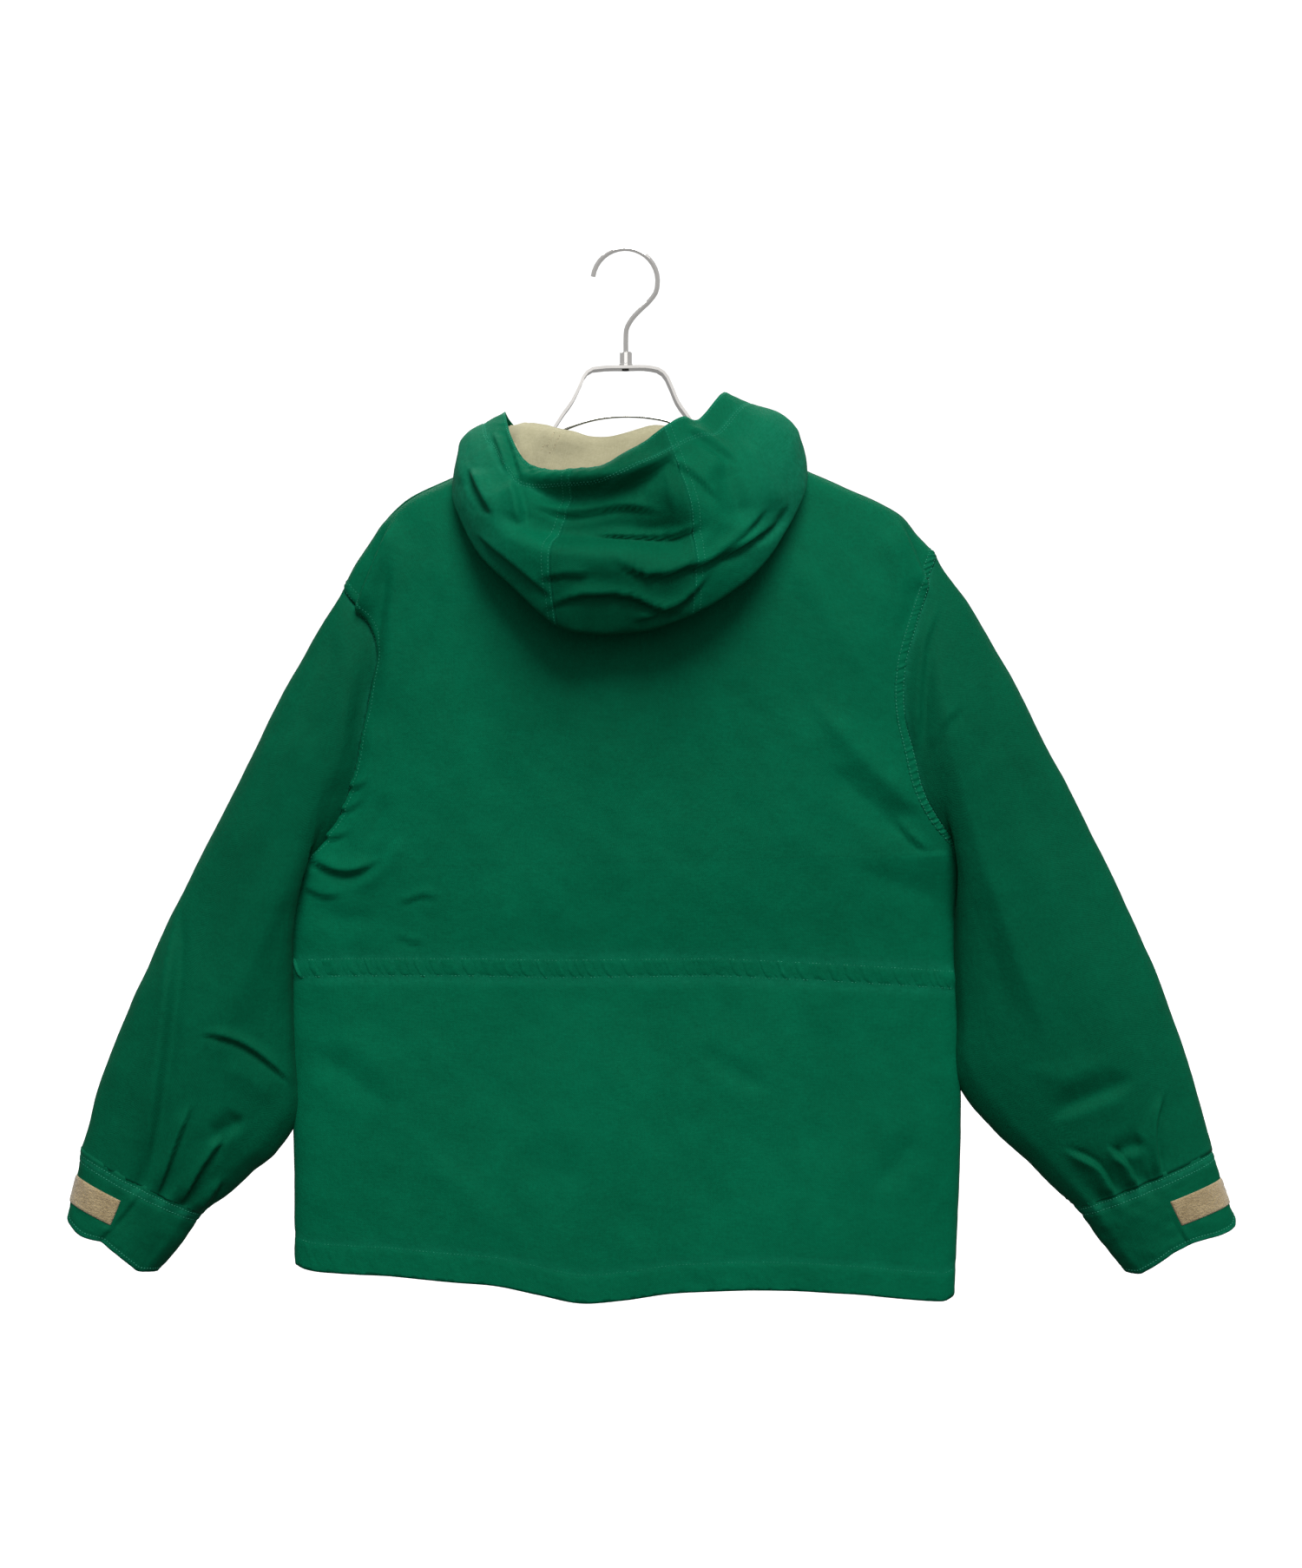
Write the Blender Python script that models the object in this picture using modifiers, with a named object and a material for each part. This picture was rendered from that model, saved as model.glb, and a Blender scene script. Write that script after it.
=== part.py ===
"""A mountain parka with its hood down, hung on a metal hanger, built as its maker would cut it.

Metres, +Z up. The origin is the inside top of the hook, where a rail holds it. X runs to the right as
seen from behind the parka, and the parka's back faces -Y. All sizes below are in millimetres, and
MM turns them into metres. Cloth pieces are grids of points over the garment's outer surface. wall()
gives each its thickness along normals that neighbouring pieces share, so the seams are mitred.
"""

import math

import bmesh
import bpy
import numpy as np

MM = 0.001

# ---- driving sizes, in millimetres ------------------------------------------------------------

CLOTH = 1.6  # thickness of a panel
LINING = 1.0
TAPE = 1.2
SEAM_GAP = 0.3
MITRE_LEAST = 0.9  # cosine of the sharpest mitre

COLUMNS = 24  # across the back, half as many on each front
NECK_COLUMNS = 6  # of those, along the back of the neck
ARMHOLE_ROWS = 12  # from the underarm to the top of the armhole

NECK_HALF = 93.0
NECK_BACK_DEPTH = 48.0
NECK_BACK_DIP = 19.0
NECK_FRONT_Z = -238.0
FRONT_EDGE = 6.0  # from the centre line to each front's edge
FRONT_HEM_Z = -922.0

# Side seams, from the hem up to the underarm.
SIDE = {
    "left": [(-296, -906), (-296, -863), (-298, -785), (-301, -701), (-303, -648), (-303, -590),
             (-298, -556)],
    "right": [(294, -934), (297, -863), (300, -785), (299, -701), (298, -648), (297, -590),
              (295, -566), (307, -542)],
}
# Armhole seams, from the underarm up to the shoulder.
ARMHOLE = {
    "left": [(-298, -556), (-282, -541), (-266, -524), (-246, -483), (-237, -444), (-228, -395),
             (-222, -348), (-233, -329), (-246, -315), (-253, -303)],
    "right": [(307, -542), (288, -521), (271, -498), (254, -443), (248, -418), (247, -387),
              (250, -363), (261, -330), (270, -298), (278, -274)],
}
# Shoulder lines, from the top of the armhole to the neck.
SHOULDER = {
    "left": [(-253, -303), (-240, -277), (-224, -254), (-209, -232), (-174, -212), (-153, -203),
             (-93, -175)],
    "right": [(278, -274), (270, -265), (256, -249), (245, -235), (218, -221), (196, -212),
              (162, -197), (93, -164)],
}
# The hem of the back, which dips left of the middle and again at the right.
BACK_HEM = [(-296, -906), (-282, -911), (-209, -913), (-148, -918), (-99, -922), (-79, -928),
            (-48, -936), (-13, -935), (30, -928), (58, -926), (130, -924), (204, -929), (269, -937),
            (285, -938), (294, -934)]
HEM_FADE = 130.0  # height over which the hem's waves die out

# Rows below the underarm: height at the left and right side seam, half depth, and how far the row stands
# proud. The raised one is the waist's drawcord channel.
ROWS = [  # left_z, right_z, depth, proud
    (-906, -934, 34, 0.0),
    (-877, -905, 35, 0.0),
    (-830, -850, 36, 0.0),
    (-775, -790, 36, 0.0),
    (-720, -730, 36, 0.0),
    (-680, -690, 35, 0.0),
    (-656, -666, 34, 0.0),
    (-650, -660, 34, 0.6),
    (-642, -651, 34, 2.6),
    (-633, -642, 34, 0.6),
    (-627, -636, 35, 0.0),
    (-604, -610, 39, 0.0),
    (-578, -584, 42, 0.0),
]
CHEST_DEPTH = 44.0
FRONT_SHARE = 0.92  # the fronts' depth over the back's
SIDE_ROUNDING = 3.0
SHOULDER_ROUNDING = 6.0

# Depth of each armhole behind and before the mid plane. At the left the back folds over the sleeve, so
# the seam lies close to the mid plane there.
ARMHOLE_DEPTH = {
    ("left", "back"): 20.0, ("right", "back"): 36.0,
    ("left", "front"): 34.0, ("right", "front"): 34.0,
}
FOLD_SHARPNESS = {
    ("left", "back"): 0.5, ("right", "back"): 0.9,
    ("left", "front"): 0.8, ("right", "front"): 0.8,
}
ARMHOLE_ROUNDING = 2.2

# Sleeve sections, from the armhole to the cuff: outer and inner edge, half depth, and how much of the
# armhole's curve is left in the section.
SLEEVE = {  # outer_x, outer_z, inner_x, inner_z, depth, armhole_share
    "left": [
        (-253, -303, -298, -556, 34, 1.00),
        (-266, -322, -304.8, -566, 36, 0.62),
        (-287, -360, -304.8, -584, 38, 0.34),
        (-310, -403, -304.8, -610, 39, 0.16),
        (-335, -453, -304.8, -642, 39, 0.06),
        (-360, -502, -303.8, -678, 38, 0.0),
        (-385, -552, -301.6, -718, 37, 0.0),
        (-408, -597, -299.2, -770, 36, 0.0),
        (-432, -653, -317, -806, 35, 0.0),
        (-453, -702, -335, -824, 33, 0.0),
        (-464, -730, -347, -836, 31, 0.0),
        (-474, -755, -358, -846, 29, 0.0),
        (-481, -780, -368, -853, 27, 0.0),
        (-488, -805, -378.4, -861, 25, 0.0),
    ],
    "right": [
        (278, -274, 307, -542, 34, 1.00),
        (294, -295, 308.5, -551, 36, 0.62),
        (313, -325, 306.0, -568, 38, 0.34),
        (336, -366, 302.0, -592, 39, 0.16),
        (357, -404, 300.4, -622, 39, 0.06),
        (381, -452, 301.0, -656, 38, 0.0),
        (406, -502, 302.0, -692, 37, 0.0),
        (437, -566, 303.0, -740, 36, 0.0),
        (461, -618, 330, -786, 35, 0.0),
        (482, -668, 360, -815, 33, 0.0),
        (494, -698, 372, -828, 31, 0.0),
        (504, -728, 383, -839, 29, 0.0),
        (515, -766, 393, -848, 27, 0.0),
        (525, -804, 403, -856, 25, 0.0),
    ],
}
# Cuff sections, from the sleeve's end: the loop tape lies between the second and the third.
CUFF = {  # outer_x, outer_z, inner_x, inner_z, depth
    "left": [
        (-488, -805, -378.4, -861, 25),
        (-491, -826, -388, -875, 24),
        (-497, -850, -402, -894, 23),
        (-500, -862, -419.6, -915, 22),
    ],
    "right": [
        (525, -804, 403, -856, 25),
        (532, -829, 415, -873, 24),
        (540, -852, 429, -892, 23),
        (547, -867, 447.6, -915, 22),
    ],
}
CUFF_STATIONS = (1, 0.97, 0.9, 0.8, 0.69, 0.58, 0.49, 0.405, 0.32, 0.24, 0.16, 0.08, 0)
PLEAT_STATIONS = (6, 8, 10)  # of CUFF_STATIONS
PLEAT_DEPTH = 3.2
PLEAT_LENGTH = 75.0
LOOP_TAPE_STATIONS = (-5, 5)  # from the front round the outer edge to the back

# Hood sections every 15 degrees round the neck, from the left front past the back to the right front:
# the fold that hangs lowest, the rim of the face opening, the height at which the cloth rolls over from
# the neck seam, and how far the outer wall bulges.
HOOD_COLUMNS = ("fold_x", "fold_y", "fold_z", "rim_x", "rim_y", "rim_z", "roll_z", "bulge")
HOOD_STEP_DEG = 15
HOOD = [
    (-13, 66, -226, -11, 62, -196, -231, 4),
    (-44, 66, -228, -30, 60, -192, -228, 6),
    (-80, 62, -226, -54, 53, -184, -220, 8),
    (-110, 53, -220, -75, 42, -174, -205, 10),
    (-134, 38, -211, -93, 28, -162, -188, 12),
    (-148, 16, -202, -104, 10, -151, -168, 17),
    (-151, -5, -193, -107, -14, -147, -160, 18),
    (-151, -38, -227, -100, -44, -172, -160, 20),
    (-131, -64, -272, -86, -68, -196, -162, 22),
    (-98, -84, -307, -64, -86, -205, -166, 24),
    (-58, -92, -341, -42, -95, -205, -171, 25),
    (-27, -88, -348, -20, -99, -203, -177, 25),
    (0, -84, -347, 0, -100, -192, -174, 25),
    (27, -89, -343, 17, -97, -182, -167, 26),
    (57, -92, -332, 33, -90, -169, -168, 27),
    (86, -88, -316, 50, -76, -158, -165, 28),
    (125, -72, -281, 64, -58, -158, -160, 28),
    (156, -42, -224, 84, -34, -133, -155, 27),
    (160, -6, -186, 92, -6, -130, -152, 26),
    (156, 15, -192, 90, 16, -136, -160, 20),
    (140, 38, -205, 80, 34, -150, -180, 15),
    (114, 53, -217, 64, 46, -164, -200, 12),
    (82, 62, -224, 46, 55, -177, -216, 9),
    (45, 66, -227, 27, 61, -188, -226, 6),
    (13, 66, -226, 11, 62, -196, -231, 4),
]
HOOD_SPANS = (2, 2, 3, 3, 3)  # rows from the neck seam to the roll, mid wall, fold, bulge and rim
HOOD_PANELS = {"hood_side_left": (0, 10), "hood_centre": (10, 14), "hood_side_right": (14, 24)}
ROLL_OUT = 5.0
INNER_WALL_IN = 6.0
HOOD_CLEARANCE = 5.0
SLEEVE_CLEARANCE = 1.6  # from the body's side

# Zip at the centre front.
CHAIN_HALF = 3.3
CHAIN_DEPTH = 2.8
ZIP_TAPE_UNDER = 9.0  # how far a tape runs in behind the front's edge
SLIDER_DROP = 26.0  # below the neck seam
SLIDER = (9.0, 2.8, 10.0)  # width, depth, height
BRIDGE_WIRE = 0.8
BRIDGE_REACH = 3.4
PULL_WIDTH = 7.6
PULL_LENGTH = 27.0
PULL_THICKNESS = 1.4
PULL_SLOT = (4.2, 5.6)
PULL_BAR = 1.4

# Hanger: a flat band bent into a head and two arms, an arched bar, a ferrule and a hook.
BAND_DEPTH = 20.0
BAND_THICKNESS = 2.5
HEAD_TWIST_DEG = 4.0
HEAD = [(-64.5, -160), (-57, -148), (-49, -137), (-41, -121), (-37, -112), (-32, -107.5),
        (-24, -106), (0, -105), (24, -105.5), (31, -107.5), (35.5, -112), (40, -121), (47, -137),
        (55, -148), (62.5, -160)]
ARM_DROP = (15.0, 10.0)  # the arm's middle below the shoulder line, at its tip and at its foot
ARM_SPAN = {"left": (0.46, 0.92), "right": (0.38, 0.92)}  # along the shoulder from the armhole
ARM_START = (0.38, 0.84)  # from the head's foot, outwards and down
ARM_BEND = (18.5, 25.0)
BAR_RADIUS = 1.5
BAR = [(-62.9, -164.5), (-56, -160.5), (-31, -151.4), (-1, -147.8), (22, -149.2), (38, -152.5),
       (54, -160.5), (61.1, -164.5)]
FERRULE_RADIUS = 5.4
FERRULE_TOP = -90.5
FERRULE_FOOT = -103.2
WIRE_RADIUS = 2.15
HOOK_CENTRE = (-0.6, -26.9)
HOOK_BOW = 29.05
HOOK_TIP_DEG = 172.0
HOOK_TURN_DEG = -8.0
HOOK_STEM = [(27.2, -36), (21.5, -44.5), (13.2, -52.5), (5.0, -61.5), (0.6, -70), (0.0, -78), (0.0, -90.2)]


# ---- curves and grids -------------------------------------------------------------------------


def through(points, counts):
    """A smooth curve through the points, with counts[i] steps between point i and the next."""
    points = np.array(points, float)
    lengths = np.linalg.norm(np.diff(points, axis=0), axis=1)
    knots = np.concatenate([[0.0], np.cumsum(lengths)])
    slopes = np.gradient(points, knots, axis=0)
    out = [points[0]]
    for i, count in enumerate(counts):
        span = knots[i + 1] - knots[i]
        for step in range(1, count + 1):
            t = step / count
            start = (2 * t**3 - 3 * t**2 + 1) * points[i] + (t**3 - 2 * t**2 + t) * span * slopes[i]
            end = (3 * t**2 - 2 * t**3) * points[i + 1] + (t**3 - t**2) * span * slopes[i + 1]
            out.append(start + end)
    return np.array(out)


def along(points, fractions):
    """Points of the smooth curve through points, at fractions of its length."""
    fine = through(points, [16] * (len(points) - 1))
    steps = np.linalg.norm(np.diff(fine, axis=0), axis=1)
    length = np.concatenate([[0.0], np.cumsum(steps)])
    at = np.asarray(fractions) * length[-1]
    return np.stack([np.interp(at, length, fine[:, k]) for k in range(fine.shape[1])], axis=1)


def eased(count):
    """Fractions from 0 to 1, closer together at both ends."""
    return 0.5 - 0.5 * np.cos(np.pi * np.arange(count + 1) / count)


def rounded(t, power):
    """A rise from 0 at t = 0 to 1 in the middle and back to 0 at t = 1."""
    return (1 - np.abs(2 * t - 1) ** power) ** (1 / power)


ACROSS = eased(COLUMNS)
UP = eased(ARMHOLE_ROWS)
NECK_FIRST = (COLUMNS - NECK_COLUMNS) // 2


def side_line(side):
    """One edge of the body, from the hem to the top of the armhole, as x and z."""
    heights = [row[0 if side == "left" else 1] for row in ROWS]
    seam = np.array(SIDE[side], float)
    lower = np.stack([np.interp(heights, seam[:, 1], seam[:, 0]), heights], axis=1)
    return np.concatenate([lower, along(ARMHOLE[side], UP)])


def edge_depths(side, face):
    """How far each row's end stands from the mid plane: nothing at the side seam."""
    armhole = ARMHOLE_DEPTH[(side, face)] * rounded(UP, ARMHOLE_ROUNDING)
    return np.concatenate([np.zeros(len(ROWS)), armhole])


def shoulder(side):
    """The shoulder line at the grid's columns, from the armhole to the neck."""
    return along(SHOULDER[side], ACROSS[: NECK_FIRST + 1] / ACROSS[NECK_FIRST])


def top_line(face):
    """The panel's top edge, as x and z, and how much of each column belongs to the neck."""
    left, right = shoulder("left"), shoulder("right")
    turn = np.linspace(0, math.pi, NECK_COLUMNS + 1)[1:-1]
    x = -NECK_HALF * np.cos(turn)
    chord = np.interp(x, [-NECK_HALF, NECK_HALF], [left[-1, 1], right[-1, 1]])
    if face == "back":
        z = chord - NECK_BACK_DIP * np.sin(turn) ** 2
    else:
        z = NECK_FRONT_Z + (chord - NECK_FRONT_Z) * np.cos(turn) ** 2
    line = np.concatenate([left, np.stack([x, z], axis=1), right[::-1]])
    share = np.zeros(len(line))
    share[NECK_FIRST + 1 : NECK_FIRST + NECK_COLUMNS] = np.sin(turn)
    return line, share


def body_rows():
    """Depth, pride and height share of every row, from the hem to the shoulders."""
    rows = np.array(ROWS, float)
    depth = np.concatenate([rows[:, 2], np.full(len(UP), CHEST_DEPTH)])
    proud = np.concatenate([rows[:, 3], np.zeros(len(UP))])
    rise = np.concatenate([np.zeros(len(ROWS)), UP])
    return depth, proud, rise


def body_grid(face, half=None):
    """Points of the back, or of one front, by row from the hem up and by column from left to right."""
    depth, proud, rise = body_rows()
    top, neck = top_line(face)
    left, right = side_line("left"), side_line("right")
    if half is None:
        hem = np.array(BACK_HEM, float)
        hem_x = hem[0, 0] + (hem[-1, 0] - hem[0, 0]) * ACROSS
        hem_z = np.interp(hem_x, hem[:, 0], hem[:, 1])
        share = ACROSS
        inward = np.abs(2 * ACROSS - 1)
        first, last = left, right
    else:
        middle = COLUMNS // 2
        columns = slice(0, middle + 1) if half == "left" else slice(middle, COLUMNS + 1)
        top, neck = top[columns], neck[columns]
        share = 2 * ACROSS[columns] - (0 if half == "left" else 1)
        inward = 1 - share if half == "left" else share
        edge_x = -FRONT_EDGE if half == "left" else FRONT_EDGE
        outer = left if half == "left" else right
        top_at = (outer[:, 1] - outer[0, 1]) / (outer[-1, 1] - outer[0, 1])
        edge_z = FRONT_HEM_Z + (NECK_FRONT_Z - FRONT_HEM_Z) * top_at
        edge = np.stack([np.full(len(outer), edge_x), edge_z], axis=1)
        at_edge = -1 if half == "left" else 0
        top[at_edge] = (edge_x, NECK_FRONT_Z)
        first, last = (outer, edge) if half == "left" else (edge, outer)
        hem_x = first[0, 0] + (last[0, 0] - first[0, 0]) * share
        hem_z = np.interp(hem_x, [first[0, 0], last[0, 0]], [first[0, 1], last[0, 1]])
    bottom = np.stack([hem_x, hem_z], axis=1)
    bottom_bend = bottom - (first[0] + (last[0] - first[0]) * share[:, None])
    top_bend = top - (first[-1] + (last[-1] - first[-1]) * share[:, None])
    grid = np.zeros((len(first), len(share), 3))
    for row in range(len(first)):
        chord = first[row] + (last[row] - first[row]) * share[:, None]
        height = abs(first[row, 1] - first[0, 1])
        hem_fade = max(0.0, 1 - height / HEM_FADE) ** 1.5
        place = chord + bottom_bend * hem_fade + top_bend * rise[row] ** 1.4
        grid[row, :, 0] = place[:, 0]
        grid[row, :, 2] = place[:, 1]
        close = math.sqrt(max(0.0, 1 - rise[row] ** SHOULDER_ROUNDING))
        closing = close * (1 - neck) + neck
        full = depth[row] * closing
        if face == "back":
            full = full * (1 + (NECK_BACK_DEPTH / CHEST_DEPTH - 1) * neck * rise[row] ** 4)
        for column, far in enumerate(inward):
            side = "left" if place[column, 0] < 0 else "right"
            edge_depth = edge_depths(side, face)[row]
            power = 0.5 + (FOLD_SHARPNESS[(side, face)] - 0.5) * min(1.0, 3 * rise[row])
            crown = (1 - min(1.0, far) ** SIDE_ROUNDING) ** power
            at = edge_depth + (full[column] - edge_depth) * crown + proud[row] * min(1.0, 4 * crown)
            grid[row, column, 1] = -at if face == "back" else at * FRONT_SHARE
    return grid


def section(row, stations, side_of):
    """Half a ring of a sleeve or cuff, from its outer edge to its inner, on its back or its front."""
    outer = np.array([row[0], row[1]], float)
    inner = np.array([row[2], row[3]], float)
    place = inner + (outer - inner) * stations[:, None]
    depth = side_of * row[4] * rounded(stations, 2.0)
    return np.stack([place[:, 0], depth, place[:, 1]], axis=1)


def ring(row, stations):
    """A whole ring, closed: its last point is its first."""
    back = section(row, stations, -1)
    front = section(row, stations, 1)[::-1]
    return np.concatenate([back, front[1:]])


def armhole_ring(side):
    """The armhole seam, from the shoulder down the back to the underarm and up the front."""
    line = along(ARMHOLE[side], UP)[::-1]
    halves = []
    for face, sign in (("back", -1), ("front", 1)):
        depth = (ARMHOLE_DEPTH[(side, face)] * rounded(UP, ARMHOLE_ROUNDING))[::-1]
        share = 1 if face == "back" else FRONT_SHARE
        halves.append(np.stack([line[:, 0], sign * share * depth, line[:, 1]], axis=1))
    return np.concatenate([halves[0], halves[1][::-1][1:]])


def sleeve_grid(hand):
    """Rings from the armhole to the cuff, clear of the body's side, with pleats near the cuff."""
    table = SLEEVE[hand]
    side = side_line(hand)
    sign = -1 if hand == "left" else 1
    cuff_end = np.array([table[-1][0] + table[-1][2], table[-1][1] + table[-1][3]]) / 2
    at_armhole = UP[::-1]
    at_cuff = np.array(CUFF_STATIONS, float)
    start = ring(table[0], at_armhole)
    offset = armhole_ring(hand) - start
    rings = []
    for number, row in enumerate(table):
        down = number / (len(table) - 1)
        stations = at_armhole + (at_cuff - at_armhole) * down
        points = ring(row, stations) + offset * row[5]
        if number:
            limit = np.interp(points[:, 2], side[:, 1], side[:, 0]) + sign * SLEEVE_CLEARANCE
            points[:, 0] = sign * np.maximum(sign * points[:, 0], sign * limit)
        middle = np.array([row[0] + row[2], row[1] + row[3]]) / 2
        to_cuff = np.linalg.norm(middle - cuff_end)
        fade = max(0.0, 1 - to_cuff / PLEAT_LENGTH)
        for station in PLEAT_STATIONS:
            points[station, 1] += PLEAT_DEPTH * fade
        rings.append(points)
    return np.array(rings)


def cuff_grid(side):
    """Rings from the sleeve's end to the cuff's edge: the first is the sleeve's last."""
    stations = np.array(CUFF_STATIONS, float)
    rings = [ring(row, stations) for row in CUFF[side]]
    rings[0] = sleeve_grid(side)[-1]
    return np.array(rings)


# ---- the hood ---------------------------------------------------------------------------------


def neckline(back, fronts):
    """The neck seam, from the left front's edge round the back to the right front's, twice as fine."""
    middle = COLUMNS // 2
    left = fronts["left"][-1, NECK_FIRST : middle + 1][::-1]
    behind = back[-1, NECK_FIRST : NECK_FIRST + NECK_COLUMNS + 1]
    right = fronts["right"][-1, : middle - NECK_FIRST + 1][::-1]
    seam = np.concatenate([left, behind[1:-1], right])
    halves = (seam[1:] + seam[:-1]) / 2
    fine = np.zeros((2 * len(seam) - 1, 3))
    fine[0::2] = seam
    fine[1::2] = halves
    return fine


def clear_of_body(point, ridge, reach):
    """Lifts a point of the hood off the rounded shoulder below it, or moves it out from the body."""
    x, y, z = point
    top = np.interp(x, ridge[:, 0], ridge[:, 1])
    depth = CHEST_DEPTH * (1 if y < 0 else FRONT_SHARE)
    inside = max(abs(y) - HOOD_CLEARANCE, 0.0) / depth
    if inside < 1:
        fall = reach * (1 - (1 - inside**2) ** (1 / SHOULDER_ROUNDING))
        least = top - fall + HOOD_CLEARANCE
        if z < least and top - z < 60:
            z = least
        elif z < least:
            y = math.copysign(depth + HOOD_CLEARANCE, y)
    return x, y, z


def hood_grid(back, fronts):
    """Sections round the neck, each from the seam over the roll, down to the fold, up to the rim."""
    seam = neckline(back, fronts)
    ridge = back[-1][:, [0, 2]]
    reach = abs(ARMHOLE["left"][0][1] - SHOULDER["left"][-2][1])
    sections = []
    for number, row in enumerate(HOOD):
        values = dict(zip(HOOD_COLUMNS, row))
        bearing = math.radians(HOOD_STEP_DEG * (number - len(HOOD) // 2))
        away = np.array([math.sin(bearing), -math.cos(bearing), 0.0])
        neck = seam[number]
        fold = np.array([values["fold_x"], values["fold_y"], values["fold_z"]], float)
        rim = np.array([values["rim_x"], values["rim_y"], values["rim_z"]], float)
        roll = np.array([neck[0], neck[1], values["roll_z"]]) + away * ROLL_OUT
        wall = (roll + fold) / 2 - away * INNER_WALL_IN
        swell = (fold + rim) / 2 + away * values["bulge"]
        points = through([neck, roll, wall, fold, swell, rim], HOOD_SPANS)
        for index in range(HOOD_SPANS[0] + 1, sum(HOOD_SPANS[:4])):
            points[index] = clear_of_body(points[index], ridge, reach)
        sections.append(points)
    return np.array(sections).transpose(1, 0, 2)


# ---- walls ------------------------------------------------------------------------------------


def face_normals(grid, flip):
    across = grid[1:, 1:] - grid[:-1, :-1]
    other = grid[1:, :-1] - grid[:-1, 1:]
    normal = np.cross(across, other)
    return -normal if flip else normal


def key(point):
    return tuple(np.round(point / 0.02).astype(int))


class Normals:
    """Outward normals of all the cloth. Where a sleeve or the hood meets the body, both count alike."""

    def __init__(self, groups):
        self.total = {}
        for group, pieces in enumerate(groups):
            for grid, flip in pieces:
                self.add(group, grid, face_normals(grid, flip))

    def add(self, group, grid, normals):
        for row, column in np.ndindex(normals.shape[:2]):
            size = np.linalg.norm(normals[row, column])
            if size < 1e-9:
                continue
            for corner in ((0, 0), (0, 1), (1, 0), (1, 1)):
                place = key(grid[row + corner[0], column + corner[1]])
                sums = self.total.setdefault(place, {})
                sums[group] = sums.get(group, 0) + normals[row, column] / size

    def at(self, grid):
        """The normal at each point, longer where two pieces meet at an angle, so that both stay thick."""
        out = np.zeros_like(grid)
        for index in np.ndindex(grid.shape[:2]):
            sums = [one / np.linalg.norm(one) for one in self.total[key(grid[index])].values()]
            normal = sum(sums) / np.linalg.norm(sum(sums))
            out[index] = normal / max(MITRE_LEAST, min(float(normal @ one) for one in sums))
        return out


def wall(name, outer, inner, flip, closed, gaps, material):
    """A cloth piece between two grids. gaps names the edges that meet a neighbour: rows or columns."""
    whole = np.round(outer, 3)
    outer, inner = outer.copy(), inner.copy()
    steps = {
        "first_row": (np.s_[0], np.s_[1]),
        "last_row": (np.s_[-1], np.s_[-2]),
        "first_column": (np.s_[:, 0], np.s_[:, 1]),
        "last_column": (np.s_[:, -1], np.s_[:, -2]),
    }
    for gap in gaps:
        edge, beside = steps[gap]
        step = outer[beside] - outer[edge]
        step *= (SEAM_GAP / 2) / np.linalg.norm(step, axis=-1, keepdims=True)
        outer[edge] += step
        inner[edge] += step
    rows, columns = outer.shape[:2]
    count = columns - 1 if closed else columns
    mesh = bmesh.new()
    places = [(r, c) for r in range(rows) for c in range(count)]
    face = {at: mesh.verts.new(outer[at] * MM) for at in places}
    back = {at: mesh.verts.new(inner[at] * MM) for at in places}

    def quad(*corners):
        mesh.faces.new(corners[::-1] if flip else corners)

    def rim(a, b):
        """The edge between two places, split from its lower outer corner so that neighbours agree."""
        out_a, out_b, in_a, in_b = face[a], face[b], back[a], back[b]
        if tuple(whole[a][::-1]) < tuple(whole[b][::-1]):
            quad(out_a, out_b, in_b)
            quad(out_a, in_b, in_a)
        else:
            quad(out_a, out_b, in_a)
            quad(out_b, in_b, in_a)

    for r in range(rows - 1):
        for c in range(columns - 1):
            d = (c + 1) % count
            quad(face[r, c], face[r, d], face[r + 1, d], face[r + 1, c])
            quad(back[r, c], back[r + 1, c], back[r + 1, d], back[r, d])
    for c in range(columns - 1):
        d = (c + 1) % count
        rim((0, d), (0, c))
        rim((rows - 1, c), (rows - 1, d))
    if not closed:
        for r in range(rows - 1):
            rim((r, 0), (r + 1, 0))
            rim((r + 1, columns - 1), (r, columns - 1))
    data = bpy.data.meshes.new(name)
    mesh.to_mesh(data)
    mesh.free()
    return place(name, data, material)


# ---- scene ------------------------------------------------------------------------------------


def clear():
    for thing in list(bpy.data.objects):
        bpy.data.objects.remove(thing, do_unlink=True)


def collection(name):
    made = bpy.data.collections.new(name)
    bpy.context.scene.collection.children.link(made)
    return made


def finish(name, colour, roughness, metallic=0.0):
    material = bpy.data.materials.new(name)
    material.use_nodes = True
    shader = material.node_tree.nodes["Principled BSDF"]
    shader.inputs["Base Color"].default_value = (*colour, 1)
    shader.inputs["Roughness"].default_value = roughness
    shader.inputs["Metallic"].default_value = metallic
    return material


def place(name, data, material, where=None):
    data.materials.append(material)
    thing = bpy.data.objects.new(name, data)
    (where or PARTS).objects.link(thing)
    return thing


def box(name, size, centre, material, bevel, where=None):
    mesh = bmesh.new()
    bmesh.ops.create_cube(mesh, size=1.0)
    bmesh.ops.scale(mesh, vec=[s * MM for s in size], verts=mesh.verts)
    data = bpy.data.meshes.new(name)
    mesh.to_mesh(data)
    mesh.free()
    thing = place(name, data, material, where)
    thing.location = [c * MM for c in centre]
    if bevel:
        edge = thing.modifiers.new("bevel", "BEVEL")
        edge.width = bevel * MM
        edge.segments = 2
    return thing


def wire(name, points, radius, material, resolution=3, where=None):
    """A round wire through points, with filled caps."""
    data = bpy.data.curves.new(name, "CURVE")
    data.dimensions = "3D"
    data.bevel_depth = radius * MM
    data.bevel_resolution = resolution
    data.use_fill_caps = True
    spline = data.splines.new("POLY")
    spline.points.add(len(points) - 1)
    for target, point in zip(spline.points, points):
        target.co = (*[float(p) * MM for p in point], 1)
    return place(name, data, material, where)


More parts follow.
